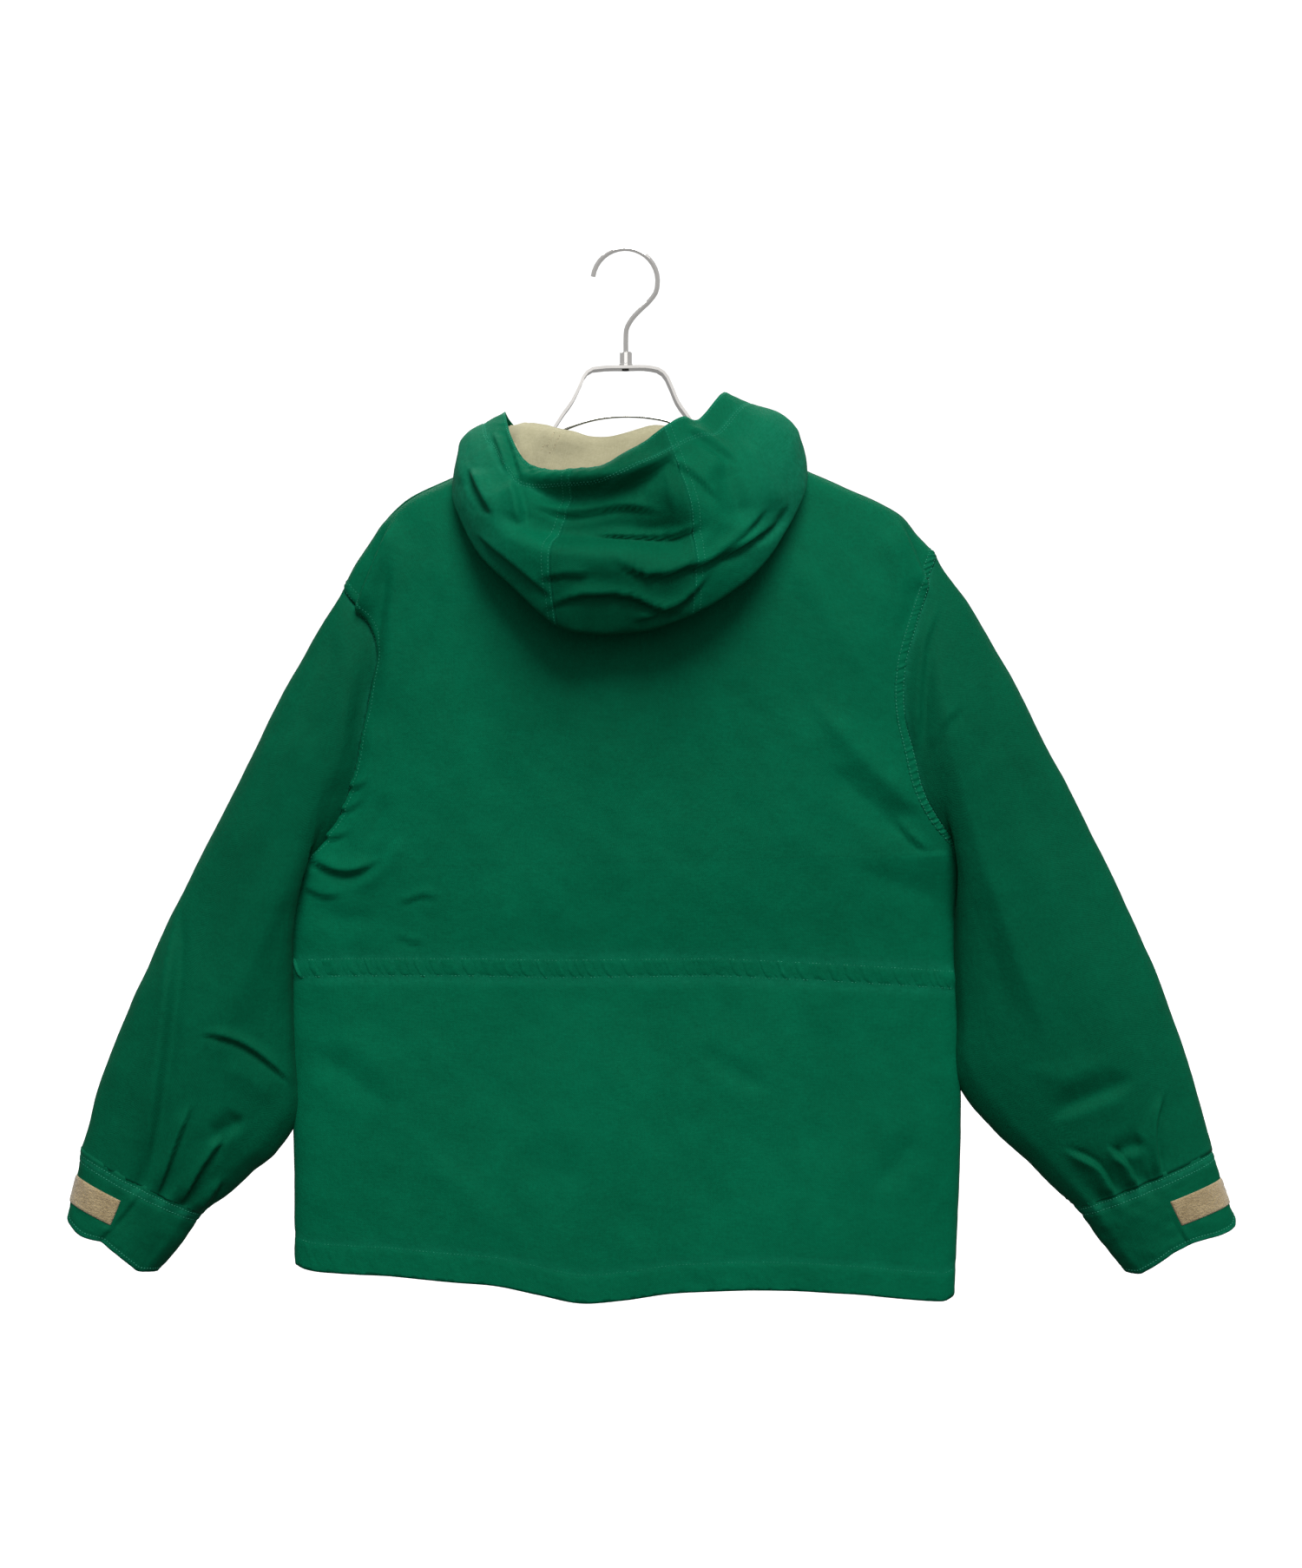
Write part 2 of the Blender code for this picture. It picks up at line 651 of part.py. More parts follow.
def band(name, path, material, twist_deg=0.0):
    """A flat metal strip bent along a path of x and z, BAND_DEPTH deep."""
    path = np.array(path, float)
    run = np.gradient(path, axis=0)
    run /= np.linalg.norm(run, axis=1, keepdims=True)
    side = np.stack([-run[:, 1], run[:, 0]], axis=1) * BAND_THICKNESS / 2
    outline = np.concatenate([path + side, (path - side)[::-1]])
    data = bpy.data.curves.new(name, "CURVE")
    data.dimensions = "2D"
    data.fill_mode = "BOTH"
    data.extrude = BAND_DEPTH / 2 * MM
    spline = data.splines.new("POLY")
    spline.points.add(len(outline) - 1)
    for target, (x, z) in zip(spline.points, outline):
        target.co = (x * MM, z * MM, 0, 1)
    spline.use_cyclic_u = True
    thing = place(name, data, material)
    thing.rotation_euler = (math.radians(90), 0, math.radians(twist_deg))
    return thing


# ---- the pieces -------------------------------------------------------------------------------


def build_cloth(finishes):
    back = body_grid("back")
    fronts = {half: body_grid("front", half) for half in ("left", "right")}
    sleeves = {side: sleeve_grid(side) for side in ("left", "right")}
    cuffs = {side: cuff_grid(side) for side in ("left", "right")}
    hood = hood_grid(back, fronts)
    seam_flip = {"left": True, "right": False}
    shared = Normals(
        [
            [(back, False), (fronts["left"], True), (fronts["right"], True)],
            [(hood, False)],
            [(grids[side], seam_flip[side]) for grids in (sleeves, cuffs) for side in ("left", "right")],
        ]
    )

    def cloth(name, grid, flip, closed, gaps, start=0.0, thick=CLOTH, material="cloth"):
        normals = shared.at(grid)
        outer = grid - normals * start
        return wall(name, outer, outer - normals * thick, flip, closed, gaps, finishes[material])

    cloth("back_panel", back, False, False, ("last_row", "first_column", "last_column"))
    cloth("front_left", fronts["left"], True, False, ("last_row", "first_column"))
    cloth("front_right", fronts["right"], True, False, ("last_row", "last_column"))
    for side in ("left", "right"):
        flip = seam_flip[side]
        cloth(f"sleeve_{side}", sleeves[side], flip, True, ("first_row", "last_row"))
        cloth(f"cuff_{side}", cuffs[side], flip, True, ("first_row",))
        count = cuffs[side].shape[1] - 1
        stations = [s % count for s in range(LOOP_TAPE_STATIONS[0], LOOP_TAPE_STATIONS[1] + 1)]
        patch = cuffs[side][1:3][:, stations]
        cloth(f"loop_tape_{side}", patch, flip, False, (), -SEAM_GAP - TAPE, TAPE, "loop_tape")
    for name, (first, last) in HOOD_PANELS.items():
        gaps = ["first_row"]
        gaps += ["first_column"] if first else []
        gaps += ["last_column"] if last < len(HOOD) - 1 else []
        cloth(name, hood[:, first : last + 1], False, False, gaps)
    cloth("hood_lining", hood[1:-1], False, False, (), CLOTH + SEAM_GAP, LINING, "lining")
    return fronts


def build_zip(fronts, finishes):
    """The tapes lie behind the fronts' edges, and the chain between them."""
    edges = {"left": fronts["left"][:, -1], "right": fronts["right"][:, 0]}
    beside = {"left": fronts["left"][:, -2], "right": fronts["right"][:, 1]}
    behind = np.array([0.0, -(CLOTH + SEAM_GAP), 0.0])
    for side, sign in (("left", -1), ("right", 1)):
        edge = edges[side]
        inner = edge.copy()
        inner[:, 0] = sign * (CHAIN_HALF + SEAM_GAP)
        run = beside[side] - edge
        far = edge + run * (ZIP_TAPE_UNDER / np.linalg.norm(run, axis=1, keepdims=True))
        columns = [far, edge, inner] if side == "left" else [inner, edge, far]
        grid = np.stack(columns, axis=1) + behind
        wall(f"zip_tape_{side}", grid, grid - [0, LINING, 0], True, False, (), finishes["zip_tape"])
    middle = (edges["left"] + edges["right"]) / 2
    face = np.stack([middle - [CHAIN_HALF, 0.3, 0], middle - [-CHAIN_HALF, 0.3, 0]], axis=1)
    wall("zip_chain", face, face - [0, CHAIN_DEPTH, 0], True, False, (), finishes["zip_chain"])
    return middle


def build_slider(middle, finishes):
    """The slider's body with its bridge in one, and the pull that hangs in the bridge."""
    width, depth, height = SLIDER
    z = middle[-1, 2] - SLIDER_DROP
    face = float(np.interp(z, middle[:, 2], middle[:, 1])) + SEAM_GAP
    body = box("zip_slider", SLIDER, (0, face + depth / 2, z), finishes["slider"], 0.6)
    top = face + depth
    foot = height / 2 - 1.4
    half_arch = [(-1.0, foot), (1.6, foot), (BRIDGE_REACH - 0.6, foot - 1.2), (BRIDGE_REACH, foot - 2.6)]
    arch = [(0, top + out, z + up) for out, up in half_arch]
    arch += [(0, top + out, z - up) for out, up in half_arch[::-1]]
    drawn = wire("bridge_wire", arch, BRIDGE_WIRE, finishes["slider"], 2, TOOLS)
    bpy.context.view_layer.update()
    data = bpy.data.meshes.new_from_object(drawn.evaluated_get(bpy.context.evaluated_depsgraph_get()))
    mesh = bmesh.new()
    mesh.from_mesh(data)
    bmesh.ops.remove_doubles(mesh, verts=mesh.verts, dist=1e-6)
    mesh.to_mesh(data)
    mesh.free()
    bridge = bpy.data.objects.new("bridge", data)
    bridge.matrix_world = drawn.matrix_world
    bpy.data.objects.remove(drawn, do_unlink=True)
    TOOLS.objects.link(bridge)
    bridge.hide_render = True
    bridge.display_type = "WIRE"
    join = body.modifiers.new("bridge", "BOOLEAN")
    join.operation = "UNION"
    join.object = bridge
    axis = (0.0, top + (BRIDGE_REACH - BRIDGE_WIRE) / 2, z)

    half = PULL_WIDTH / 2
    head = PULL_BAR / 2
    slot_half, slot_deep = PULL_SLOT[0] / 2, PULL_SLOT[1]
    corner = 2.0
    turn = np.radians(np.linspace(0, 90, 4))
    tip = [(half - corner * (1 - math.cos(a)), -PULL_LENGTH + corner * (1 - math.sin(a))) for a in turn]
    outline = [(-half, head), (half, head)] + tip + [(-x, y) for x, y in tip[::-1]]
    slot_foot = -head - slot_deep
    slot = [(-slot_half, -head), (-slot_half, slot_foot), (slot_half, slot_foot), (slot_half, -head)]
    data = bpy.data.curves.new("zip_pull", "CURVE")
    data.dimensions = "2D"
    data.fill_mode = "BOTH"
    data.extrude = PULL_THICKNESS / 2 * MM
    for shape in (outline, slot):
        spline = data.splines.new("POLY")
        spline.points.add(len(shape) - 1)
        for target, (x, y) in zip(spline.points, shape):
            target.co = (x * MM, y * MM, 0, 1)
        spline.use_cyclic_u = True
    pull = place("zip_pull", data, finishes["slider"])
    pull.rotation_euler = (math.radians(90), 0, 0)
    pull.location = [a * MM for a in axis]
    return axis


def build_hanger(finishes):
    metal = finishes["hanger"]
    head = [HEAD[0]] + [tuple(p) for p in along(HEAD, np.linspace(0, 1, 33))[1:-1]] + [HEAD[-1]]
    band("hanger_head", head, metal, HEAD_TWIST_DEG)
    for side, foot in (("left", HEAD[0]), ("right", HEAD[-1])):
        sign = -1 if side == "left" else 1
        line = along(SHOULDER[side], np.linspace(*ARM_SPAN[side], 9))
        run = np.gradient(line, axis=0)
        run /= np.linalg.norm(run, axis=1, keepdims=True)
        down = np.stack([-sign * run[:, 1], sign * run[:, 0]], axis=1)
        down *= np.sign(-down[:, 1:2])
        arm = (line + down * np.linspace(*ARM_DROP, len(line))[:, None])[::-1]
        start = (foot[0] + sign * ARM_START[0], foot[1] - ARM_START[1])
        bend = (foot[0] + sign * ARM_BEND[0], foot[1] - ARM_BEND[1])
        path = along([start, bend] + [tuple(p) for p in arm], np.linspace(0, 1, 17))
        band(f"hanger_arm_{side}", path, metal)
    bar = along(BAR, np.linspace(0, 1, 20))
    wire("hanger_bar", [(x, 0, z) for x, z in bar], BAR_RADIUS, finishes["chrome"], 2)

    chamfer = 0.9
    profile = [(WIRE_RADIUS + 0.3, FERRULE_TOP), (FERRULE_RADIUS - chamfer, FERRULE_TOP),
               (FERRULE_RADIUS, FERRULE_TOP - chamfer), (FERRULE_RADIUS, FERRULE_FOOT + 2.4),
               (FERRULE_RADIUS + 0.5, FERRULE_FOOT + 1.8), (FERRULE_RADIUS + 0.5, FERRULE_FOOT),
               (WIRE_RADIUS + 0.3, FERRULE_FOOT)]
    mesh = bmesh.new()
    points = [mesh.verts.new((r * MM, 0, z * MM)) for r, z in profile]
    for first, second in zip(points, points[1:] + points[:1]):
        mesh.edges.new((first, second))
    data = bpy.data.meshes.new("hanger_ferrule")
    mesh.to_mesh(data)
    mesh.free()
    ferrule = place("hanger_ferrule", data, finishes["chrome"])
    turned = ferrule.modifiers.new("turn", "SCREW")
    turned.steps = turned.render_steps = 24
    turned.use_merge_vertices = True
    turned.merge_threshold = 0.00001

    bow = []
    for degrees in np.linspace(HOOK_TIP_DEG, HOOK_TURN_DEG, 19):
        angle = math.radians(degrees)
        reach = (HOOK_BOW * math.cos(angle), HOOK_BOW * math.sin(angle))
        bow.append((HOOK_CENTRE[0] + reach[0], HOOK_CENTRE[1] + reach[1]))
    stem = along([bow[-2], bow[-1]] + HOOK_STEM, np.linspace(0, 1, 20))[2:]
    foot = (0.0, FERRULE_FOOT + 0.5)
    wire("hanger_hook", [(x, 0, z) for x, z in bow + [tuple(p) for p in stem] + [foot]], WIRE_RADIUS,
         finishes["chrome"], 2)


clear()
PARTS = collection("mountain_parka")
TOOLS = collection("cutters")
FINISHES = {
    "cloth": finish("green poplin", (0.008, 0.11, 0.047), 0.85),
    "lining": finish("beige lining", (0.52, 0.45, 0.27), 0.8),
    "loop_tape": finish("tan loop tape", (0.45, 0.34, 0.19), 0.95),
    "zip_tape": finish("zip tape", (0.01, 0.08, 0.04), 0.9),
    "zip_chain": finish("zip teeth", (0.02, 0.07, 0.04), 0.5),
    "slider": finish("nickel", (0.6, 0.6, 0.6), 0.3, 1.0),
    "hanger": finish("satin steel", (0.55, 0.55, 0.53), 0.4, 1.0),
    "chrome": finish("chrome", (0.75, 0.75, 0.74), 0.12, 1.0),
}
FRONTS = build_cloth(FINISHES)
MIDDLE = build_zip(FRONTS, FINISHES)
build_slider(MIDDLE, FINISHES)
build_hanger(FINISHES)
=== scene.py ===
"""The looks of the mountain parka on its hanger: cloth, creases, seams, stitches and metal.

Metres, +Z up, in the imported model's own frame. The cloth is drawn again, finer, through the same tables as
the model's: coarse grids of points, smoothed, with the creases added along each piece's normals. The
tables are in millimetres. A crease's path is in pixels of the 1500 x 1806 picture, as seen by the camera.
"""

import math

import bmesh
import bpy
import numpy as np
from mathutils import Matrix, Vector


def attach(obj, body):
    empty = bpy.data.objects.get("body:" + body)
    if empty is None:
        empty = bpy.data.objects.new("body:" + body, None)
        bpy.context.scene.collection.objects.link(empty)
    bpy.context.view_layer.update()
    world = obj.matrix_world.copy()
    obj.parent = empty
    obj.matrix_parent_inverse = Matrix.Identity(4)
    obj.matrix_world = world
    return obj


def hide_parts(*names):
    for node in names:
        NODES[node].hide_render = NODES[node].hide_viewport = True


MM = 0.001
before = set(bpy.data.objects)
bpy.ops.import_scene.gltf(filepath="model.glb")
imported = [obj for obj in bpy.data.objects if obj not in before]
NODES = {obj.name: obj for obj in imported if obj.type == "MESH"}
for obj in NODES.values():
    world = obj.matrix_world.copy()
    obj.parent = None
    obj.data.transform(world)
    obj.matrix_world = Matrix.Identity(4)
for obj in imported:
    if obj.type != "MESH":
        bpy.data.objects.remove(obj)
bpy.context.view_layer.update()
bpy.ops.object.select_all(action="DESELECT")

# ---- the camera's place, also used to lay creases ---------------------------------------------

FRAME_WIDTH, FRAME_HEIGHT = 1500, 1806
PIXEL = 0.777  # mm at the garment's mid plane
CAMERA_X, CAMERA_Z = 22.5, -477.0
CAMERA_AWAY = 2500.0


def seen(points):
    """Where the camera sees points, in pixels of the picture."""
    scale = PIXEL * (1 + points[..., 1] / CAMERA_AWAY)
    u = FRAME_WIDTH / 2 + (points[..., 0] - CAMERA_X) / scale
    v = FRAME_HEIGHT / 2 - (points[..., 2] - CAMERA_Z) / scale
    return u, v


# ---- driving sizes, in millimetres ------------------------------------------------------------

CLOTH = 1.6  # thickness of a panel
SEAM_GAP = 0.3

COLUMNS = 24  # across the back, half as many on each front
NECK_COLUMNS = 6  # of those, along the back of the neck
ARMHOLE_ROWS = 12  # from the underarm to the top of the armhole

NECK_HALF = 93.0
NECK_BACK_DEPTH = 48.0
NECK_BACK_DIP = 19.0
NECK_FRONT_Z = -238.0
FRONT_EDGE = 6.0  # from the centre line to each front's edge
FRONT_HEM_Z = -922.0

# Side seams, from the hem up to the underarm.
SIDE = {
    "left": [(-296, -906), (-296, -863), (-298, -785), (-301, -701), (-303, -648), (-303, -590),
             (-298, -556)],
    "right": [(294, -934), (297, -863), (300, -785), (299, -701), (298, -648), (297, -590),
              (295, -566), (307, -542)],
}
# Armhole seams, from the underarm up to the shoulder.
ARMHOLE = {
    "left": [(-298, -556), (-282, -541), (-266, -524), (-246, -483), (-237, -444), (-228, -395),
             (-222, -348), (-233, -329), (-246, -315), (-253, -303)],
    "right": [(307, -542), (288, -521), (271, -498), (254, -443), (248, -418), (247, -387),
              (250, -363), (261, -330), (270, -298), (278, -274)],
}
# Shoulder lines, from the top of the armhole to the neck.
SHOULDER = {
    "left": [(-253, -303), (-240, -277), (-224, -254), (-209, -232), (-174, -212), (-153, -203),
             (-93, -175)],
    "right": [(278, -274), (270, -265), (256, -249), (245, -235), (218, -221), (196, -212),
              (162, -197), (93, -164)],
}
# The hem of the back, which dips left of the middle and again at the right.
BACK_HEM = [(-296, -906), (-282, -911), (-209, -913), (-148, -918), (-99, -922), (-79, -928),
            (-48, -936), (-13, -935), (30, -928), (58, -926), (130, -924), (204, -929), (269, -937),
            (285, -938), (294, -934)]
HEM_FADE = 130.0  # height over which the hem's waves die out

# Rows below the underarm: height at the left and right side seam, half depth, and how far the row stands
# proud. The raised one is the waist's drawcord channel.
ROWS = [  # left_z, right_z, depth, proud
    (-906, -934, 34, 0.0),
    (-877, -905, 35, 0.0),
    (-830, -850, 36, 0.0),
    (-775, -790, 36, 0.0),
    (-720, -730, 36, 0.0),
    (-680, -690, 35, 0.0),
    (-656, -666, 34, 0.0),
    (-650, -660, 34, 0.6),
    (-642, -651, 34, 2.6),
    (-633, -642, 34, 0.6),
    (-627, -636, 35, 0.0),
    (-604, -610, 39, 0.0),
    (-578, -584, 42, 0.0),
]
CHEST_DEPTH = 44.0
FRONT_SHARE = 0.92  # the fronts' depth over the back's
SIDE_ROUNDING = 3.0
SHOULDER_ROUNDING = 6.0

# Depth of each armhole behind and before the mid plane. At the left the back folds over the sleeve, so
# the seam lies close to the mid plane there.
ARMHOLE_DEPTH = {
    ("left", "back"): 20.0, ("right", "back"): 36.0,
    ("left", "front"): 34.0, ("right", "front"): 34.0,
}
FOLD_SHARPNESS = {
    ("left", "back"): 0.5, ("right", "back"): 0.9,
    ("left", "front"): 0.8, ("right", "front"): 0.8,
}
ARMHOLE_ROUNDING = 2.2

# Sleeve sections, from the armhole to the cuff: outer and inner edge, half depth, and how much of the
# armhole's curve is left in the section.
SLEEVE = {  # outer_x, outer_z, inner_x, inner_z, depth, armhole_share
    "left": [
        (-253, -303, -298, -556, 34, 1.00),
        (-266, -322, -304.8, -566, 36, 0.62),
        (-287, -360, -304.8, -584, 38, 0.34),
        (-310, -403, -304.8, -610, 39, 0.16),
        (-335, -453, -304.8, -642, 39, 0.06),
        (-360, -502, -303.8, -678, 38, 0.0),
        (-385, -552, -301.6, -718, 37, 0.0),
        (-408, -597, -299.2, -770, 36, 0.0),
        (-432, -653, -317, -806, 35, 0.0),
        (-453, -702, -335, -824, 33, 0.0),
        (-464, -730, -347, -836, 31, 0.0),
        (-474, -755, -358, -846, 29, 0.0),
        (-481, -780, -368, -853, 27, 0.0),
        (-488, -805, -378.4, -861, 25, 0.0),
    ],
    "right": [
        (278, -274, 307, -542, 34, 1.00),
        (294, -295, 308.5, -551, 36, 0.62),
        (313, -325, 306.0, -568, 38, 0.34),
        (336, -366, 302.0, -592, 39, 0.16),
        (357, -404, 300.4, -622, 39, 0.06),
        (381, -452, 301.0, -656, 38, 0.0),
        (406, -502, 302.0, -692, 37, 0.0),
        (437, -566, 303.0, -740, 36, 0.0),
        (461, -618, 330, -786, 35, 0.0),
        (482, -668, 360, -815, 33, 0.0),
        (494, -698, 372, -828, 31, 0.0),
        (504, -728, 383, -839, 29, 0.0),
        (515, -766, 393, -848, 27, 0.0),
        (525, -804, 403, -856, 25, 0.0),
    ],
}
# Cuff sections, from the sleeve's end: the loop tape lies between the second and the third.
CUFF = {  # outer_x, outer_z, inner_x, inner_z, depth
    "left": [
        (-488, -805, -378.4, -861, 25),
        (-491, -826, -388, -875, 24),
        (-497, -850, -402, -894, 23),
        (-500, -862, -419.6, -915, 22),
    ],
    "right": [
        (525, -804, 403, -856, 25),
        (532, -829, 415, -873, 24),
        (540, -852, 429, -892, 23),
        (547, -867, 447.6, -915, 22),
    ],
}
CUFF_STATIONS = (1, 0.97, 0.9, 0.8, 0.69, 0.58, 0.49, 0.405, 0.32, 0.24, 0.16, 0.08, 0)
PLEAT_STATIONS = (6, 8, 10)  # of CUFF_STATIONS
PLEAT_DEPTH = 3.2
PLEAT_LENGTH = 75.0
LOOP_TAPE_STATIONS = (-5, 5)  # from the front round the outer edge to the back

# Hood sections every 15 degrees round the neck, from the left front past the back to the right front:
# the fold that hangs lowest, the rim of the face opening, the height at which the cloth rolls over from
# the neck seam, and how far the outer wall bulges.
HOOD_COLUMNS = ("fold_x", "fold_y", "fold_z", "rim_x", "rim_y", "rim_z", "roll_z", "bulge")
HOOD_STEP_DEG = 15
HOOD = [
    (-13, 66, -226, -11, 62, -196, -231, 4),
    (-44, 66, -228, -30, 60, -192, -228, 6),
    (-80, 62, -226, -54, 53, -184, -220, 8),
    (-110, 53, -220, -75, 42, -174, -205, 10),
    (-134, 38, -211, -93, 28, -162, -188, 12),
    (-148, 16, -202, -104, 10, -151, -168, 17),
    (-151, -5, -193, -107, -14, -147, -160, 18),
    (-151, -38, -227, -100, -44, -172, -160, 20),
    (-131, -64, -272, -86, -68, -196, -162, 22),
    (-98, -84, -307, -64, -86, -205, -166, 24),
    (-58, -92, -341, -42, -95, -205, -171, 25),
    (-27, -88, -348, -20, -99, -203, -177, 25),
    (0, -84, -347, 0, -100, -192, -174, 25),
    (27, -89, -343, 17, -97, -182, -167, 26),
    (57, -92, -332, 33, -90, -169, -168, 27),
    (86, -88, -316, 50, -76, -158, -165, 28),
    (125, -72, -281, 64, -58, -158, -160, 28),
    (156, -42, -224, 84, -34, -133, -155, 27),
    (160, -6, -186, 92, -6, -130, -152, 26),
    (156, 15, -192, 90, 16, -136, -160, 20),
    (140, 38, -205, 80, 34, -150, -180, 15),
    (114, 53, -217, 64, 46, -164, -200, 12),
    (82, 62, -224, 46, 55, -177, -216, 9),
    (45, 66, -227, 27, 61, -188, -226, 6),
    (13, 66, -226, 11, 62, -196, -231, 4),
]
HOOD_SPANS = (2, 2, 3, 3, 3)  # rows from the neck seam to the roll, mid wall, fold, bulge and rim
HOOD_PANELS = {"hood_side_left": (0, 10), "hood_centre": (10, 14), "hood_side_right": (14, 24)}
ROLL_OUT = 5.0
INNER_WALL_IN = 6.0
HOOD_CLEARANCE = 5.0
SLEEVE_CLEARANCE = 1.6  # from the body's side

ZIP_TAPE_UNDER = 9.0  # how far a tape runs in behind the front's edge


# ---- curves and grids -------------------------------------------------------------------------


def running(steps):
    """The sum so far, from 0."""
    return np.concatenate([[0.0], np.cumsum(steps)])


def line_length(points):
    """How far each point of a line lies from its first."""
    return running(np.linalg.norm(np.diff(points, axis=0), axis=1))


def at_length(line, length, spots):
    """Points of a line, or other values along it, at distances from its start."""
    return np.stack([np.interp(spots, length, line[:, k]) for k in range(line.shape[1])], axis=-1)


def cubic(t, start, end, start_slope, end_slope, span=1.0):
    """The point at share t of the way, on a curve with a given slope at each end."""
    first = (2 * t**3 - 3 * t**2 + 1) * start + (t**3 - 2 * t**2 + t) * span * start_slope
    last = (3 * t**2 - 2 * t**3) * end + (t**3 - t**2) * span * end_slope
    return first + last


def through(points, counts):
    """A smooth curve through the points, with counts[i] steps between point i and the next."""
    points = np.array(points, float)
    knots = line_length(points)
    slopes = np.gradient(points, knots, axis=0)
    out = [points[0]]
    for i, count in enumerate(counts):
        span = knots[i + 1] - knots[i]
        for step in range(1, count + 1):
            out.append(cubic(step / count, points[i], points[i + 1], slopes[i], slopes[i + 1], span))
    return np.array(out)


def along(points, fractions):
    """Points of the smooth curve through points, at fractions of its length."""
    fine = through(points, [16] * (len(points) - 1))
    length = line_length(fine)
    return at_length(fine, length, np.asarray(fractions) * length[-1])


def eased(count):
    """Fractions from 0 to 1, closer together at both ends."""
    return 0.5 - 0.5 * np.cos(np.pi * np.arange(count + 1) / count)


def rounded(t, power):
    """A rise from 0 at t = 0 to 1 in the middle and back to 0 at t = 1."""
    return (1 - np.abs(2 * t - 1) ** power) ** (1 / power)


ACROSS = eased(COLUMNS)
UP = eased(ARMHOLE_ROWS)
NECK_FIRST = (COLUMNS - NECK_COLUMNS) // 2


def side_line(side):
    """One edge of the body, from the hem to the top of the armhole, as x and z."""
    heights = [row[0 if side == "left" else 1] for row in ROWS]
    seam = np.array(SIDE[side], float)
    lower = np.stack([np.interp(heights, seam[:, 1], seam[:, 0]), heights], axis=1)
    return np.concatenate([lower, along(ARMHOLE[side], UP)])


def edge_depths(side, face):
    """How far each row's end stands from the mid plane: nothing at the side seam."""
    armhole = ARMHOLE_DEPTH[(side, face)] * rounded(UP, ARMHOLE_ROUNDING)
    return np.concatenate([np.zeros(len(ROWS)), armhole])


def shoulder(side):
    """The shoulder line at the grid's columns, from the armhole to the neck."""
    return along(SHOULDER[side], ACROSS[: NECK_FIRST + 1] / ACROSS[NECK_FIRST])


def top_line(face):
    """The panel's top edge, as x and z, and how much of each column belongs to the neck."""
    left, right = shoulder("left"), shoulder("right")
    turn = np.linspace(0, math.pi, NECK_COLUMNS + 1)[1:-1]
    x = -NECK_HALF * np.cos(turn)
    chord = np.interp(x, [-NECK_HALF, NECK_HALF], [left[-1, 1], right[-1, 1]])
    if face == "back":
        z = chord - NECK_BACK_DIP * np.sin(turn) ** 2
    else:
        z = NECK_FRONT_Z + (chord - NECK_FRONT_Z) * np.cos(turn) ** 2
    line = np.concatenate([left, np.stack([x, z], axis=1), right[::-1]])
    share = np.zeros(len(line))
    share[NECK_FIRST + 1 : NECK_FIRST + NECK_COLUMNS] = np.sin(turn)
    return line, share


def body_rows():
    """Depth, pride and height share of every row, from the hem to the shoulders."""
    rows = np.array(ROWS, float)
    depth = np.concatenate([rows[:, 2], np.full(len(UP), CHEST_DEPTH)])
    proud = np.concatenate([rows[:, 3], np.zeros(len(UP))])
    rise = np.concatenate([np.zeros(len(ROWS)), UP])
    return depth, proud, rise


def body_grid(face, half=None):
    """Points of the back, or of one front, by row from the hem up and by column from left to right."""
    depth, proud, rise = body_rows()
    top, neck = top_line(face)
    left, right = side_line("left"), side_line("right")
    if half is None:
        hem = np.array(BACK_HEM, float)
        hem_x = hem[0, 0] + (hem[-1, 0] - hem[0, 0]) * ACROSS
        hem_z = np.interp(hem_x, hem[:, 0], hem[:, 1])
        share = ACROSS
        inward = np.abs(2 * ACROSS - 1)
        first, last = left, right
    else:
        middle = COLUMNS // 2
        columns = slice(0, middle + 1) if half == "left" else slice(middle, COLUMNS + 1)
        top, neck = top[columns], neck[columns]
        share = 2 * ACROSS[columns] - (0 if half == "left" else 1)
        inward = 1 - share if half == "left" else share
        edge_x = -FRONT_EDGE if half == "left" else FRONT_EDGE
        outer = left if half == "left" else right
        top_at = (outer[:, 1] - outer[0, 1]) / (outer[-1, 1] - outer[0, 1])
        edge_z = FRONT_HEM_Z + (NECK_FRONT_Z - FRONT_HEM_Z) * top_at
        edge = np.stack([np.full(len(outer), edge_x), edge_z], axis=1)
        at_edge = -1 if half == "left" else 0
        top[at_edge] = (edge_x, NECK_FRONT_Z)
        first, last = (outer, edge) if half == "left" else (edge, outer)
        hem_x = first[0, 0] + (last[0, 0] - first[0, 0]) * share
        hem_z = np.interp(hem_x, [first[0, 0], last[0, 0]], [first[0, 1], last[0, 1]])
    bottom = np.stack([hem_x, hem_z], axis=1)
    bottom_bend = bottom - (first[0] + (last[0] - first[0]) * share[:, None])
    top_bend = top - (first[-1] + (last[-1] - first[-1]) * share[:, None])
    grid = np.zeros((len(first), len(share), 3))
    for row in range(len(first)):
        chord = first[row] + (last[row] - first[row]) * share[:, None]
        height = abs(first[row, 1] - first[0, 1])
        hem_fade = max(0.0, 1 - height / HEM_FADE) ** 1.5
        place = chord + bottom_bend * hem_fade + top_bend * rise[row] ** 1.4
        grid[row, :, 0] = place[:, 0]
        grid[row, :, 2] = place[:, 1]
        close = math.sqrt(max(0.0, 1 - rise[row] ** SHOULDER_ROUNDING))
        closing = close * (1 - neck) + neck
        full = depth[row] * closing
        if face == "back":
            full = full * (1 + (NECK_BACK_DEPTH / CHEST_DEPTH - 1) * neck * rise[row] ** 4)
        for column, far in enumerate(inward):
            side = "left" if place[column, 0] < 0 else "right"
            edge_depth = edge_depths(side, face)[row]
            power = 0.5 + (FOLD_SHARPNESS[(side, face)] - 0.5) * min(1.0, 3 * rise[row])
            crown = (1 - min(1.0, far) ** SIDE_ROUNDING) ** power
            at = edge_depth + (full[column] - edge_depth) * crown + proud[row] * min(1.0, 4 * crown)
            grid[row, column, 1] = -at if face == "back" else at * FRONT_SHARE
    return grid


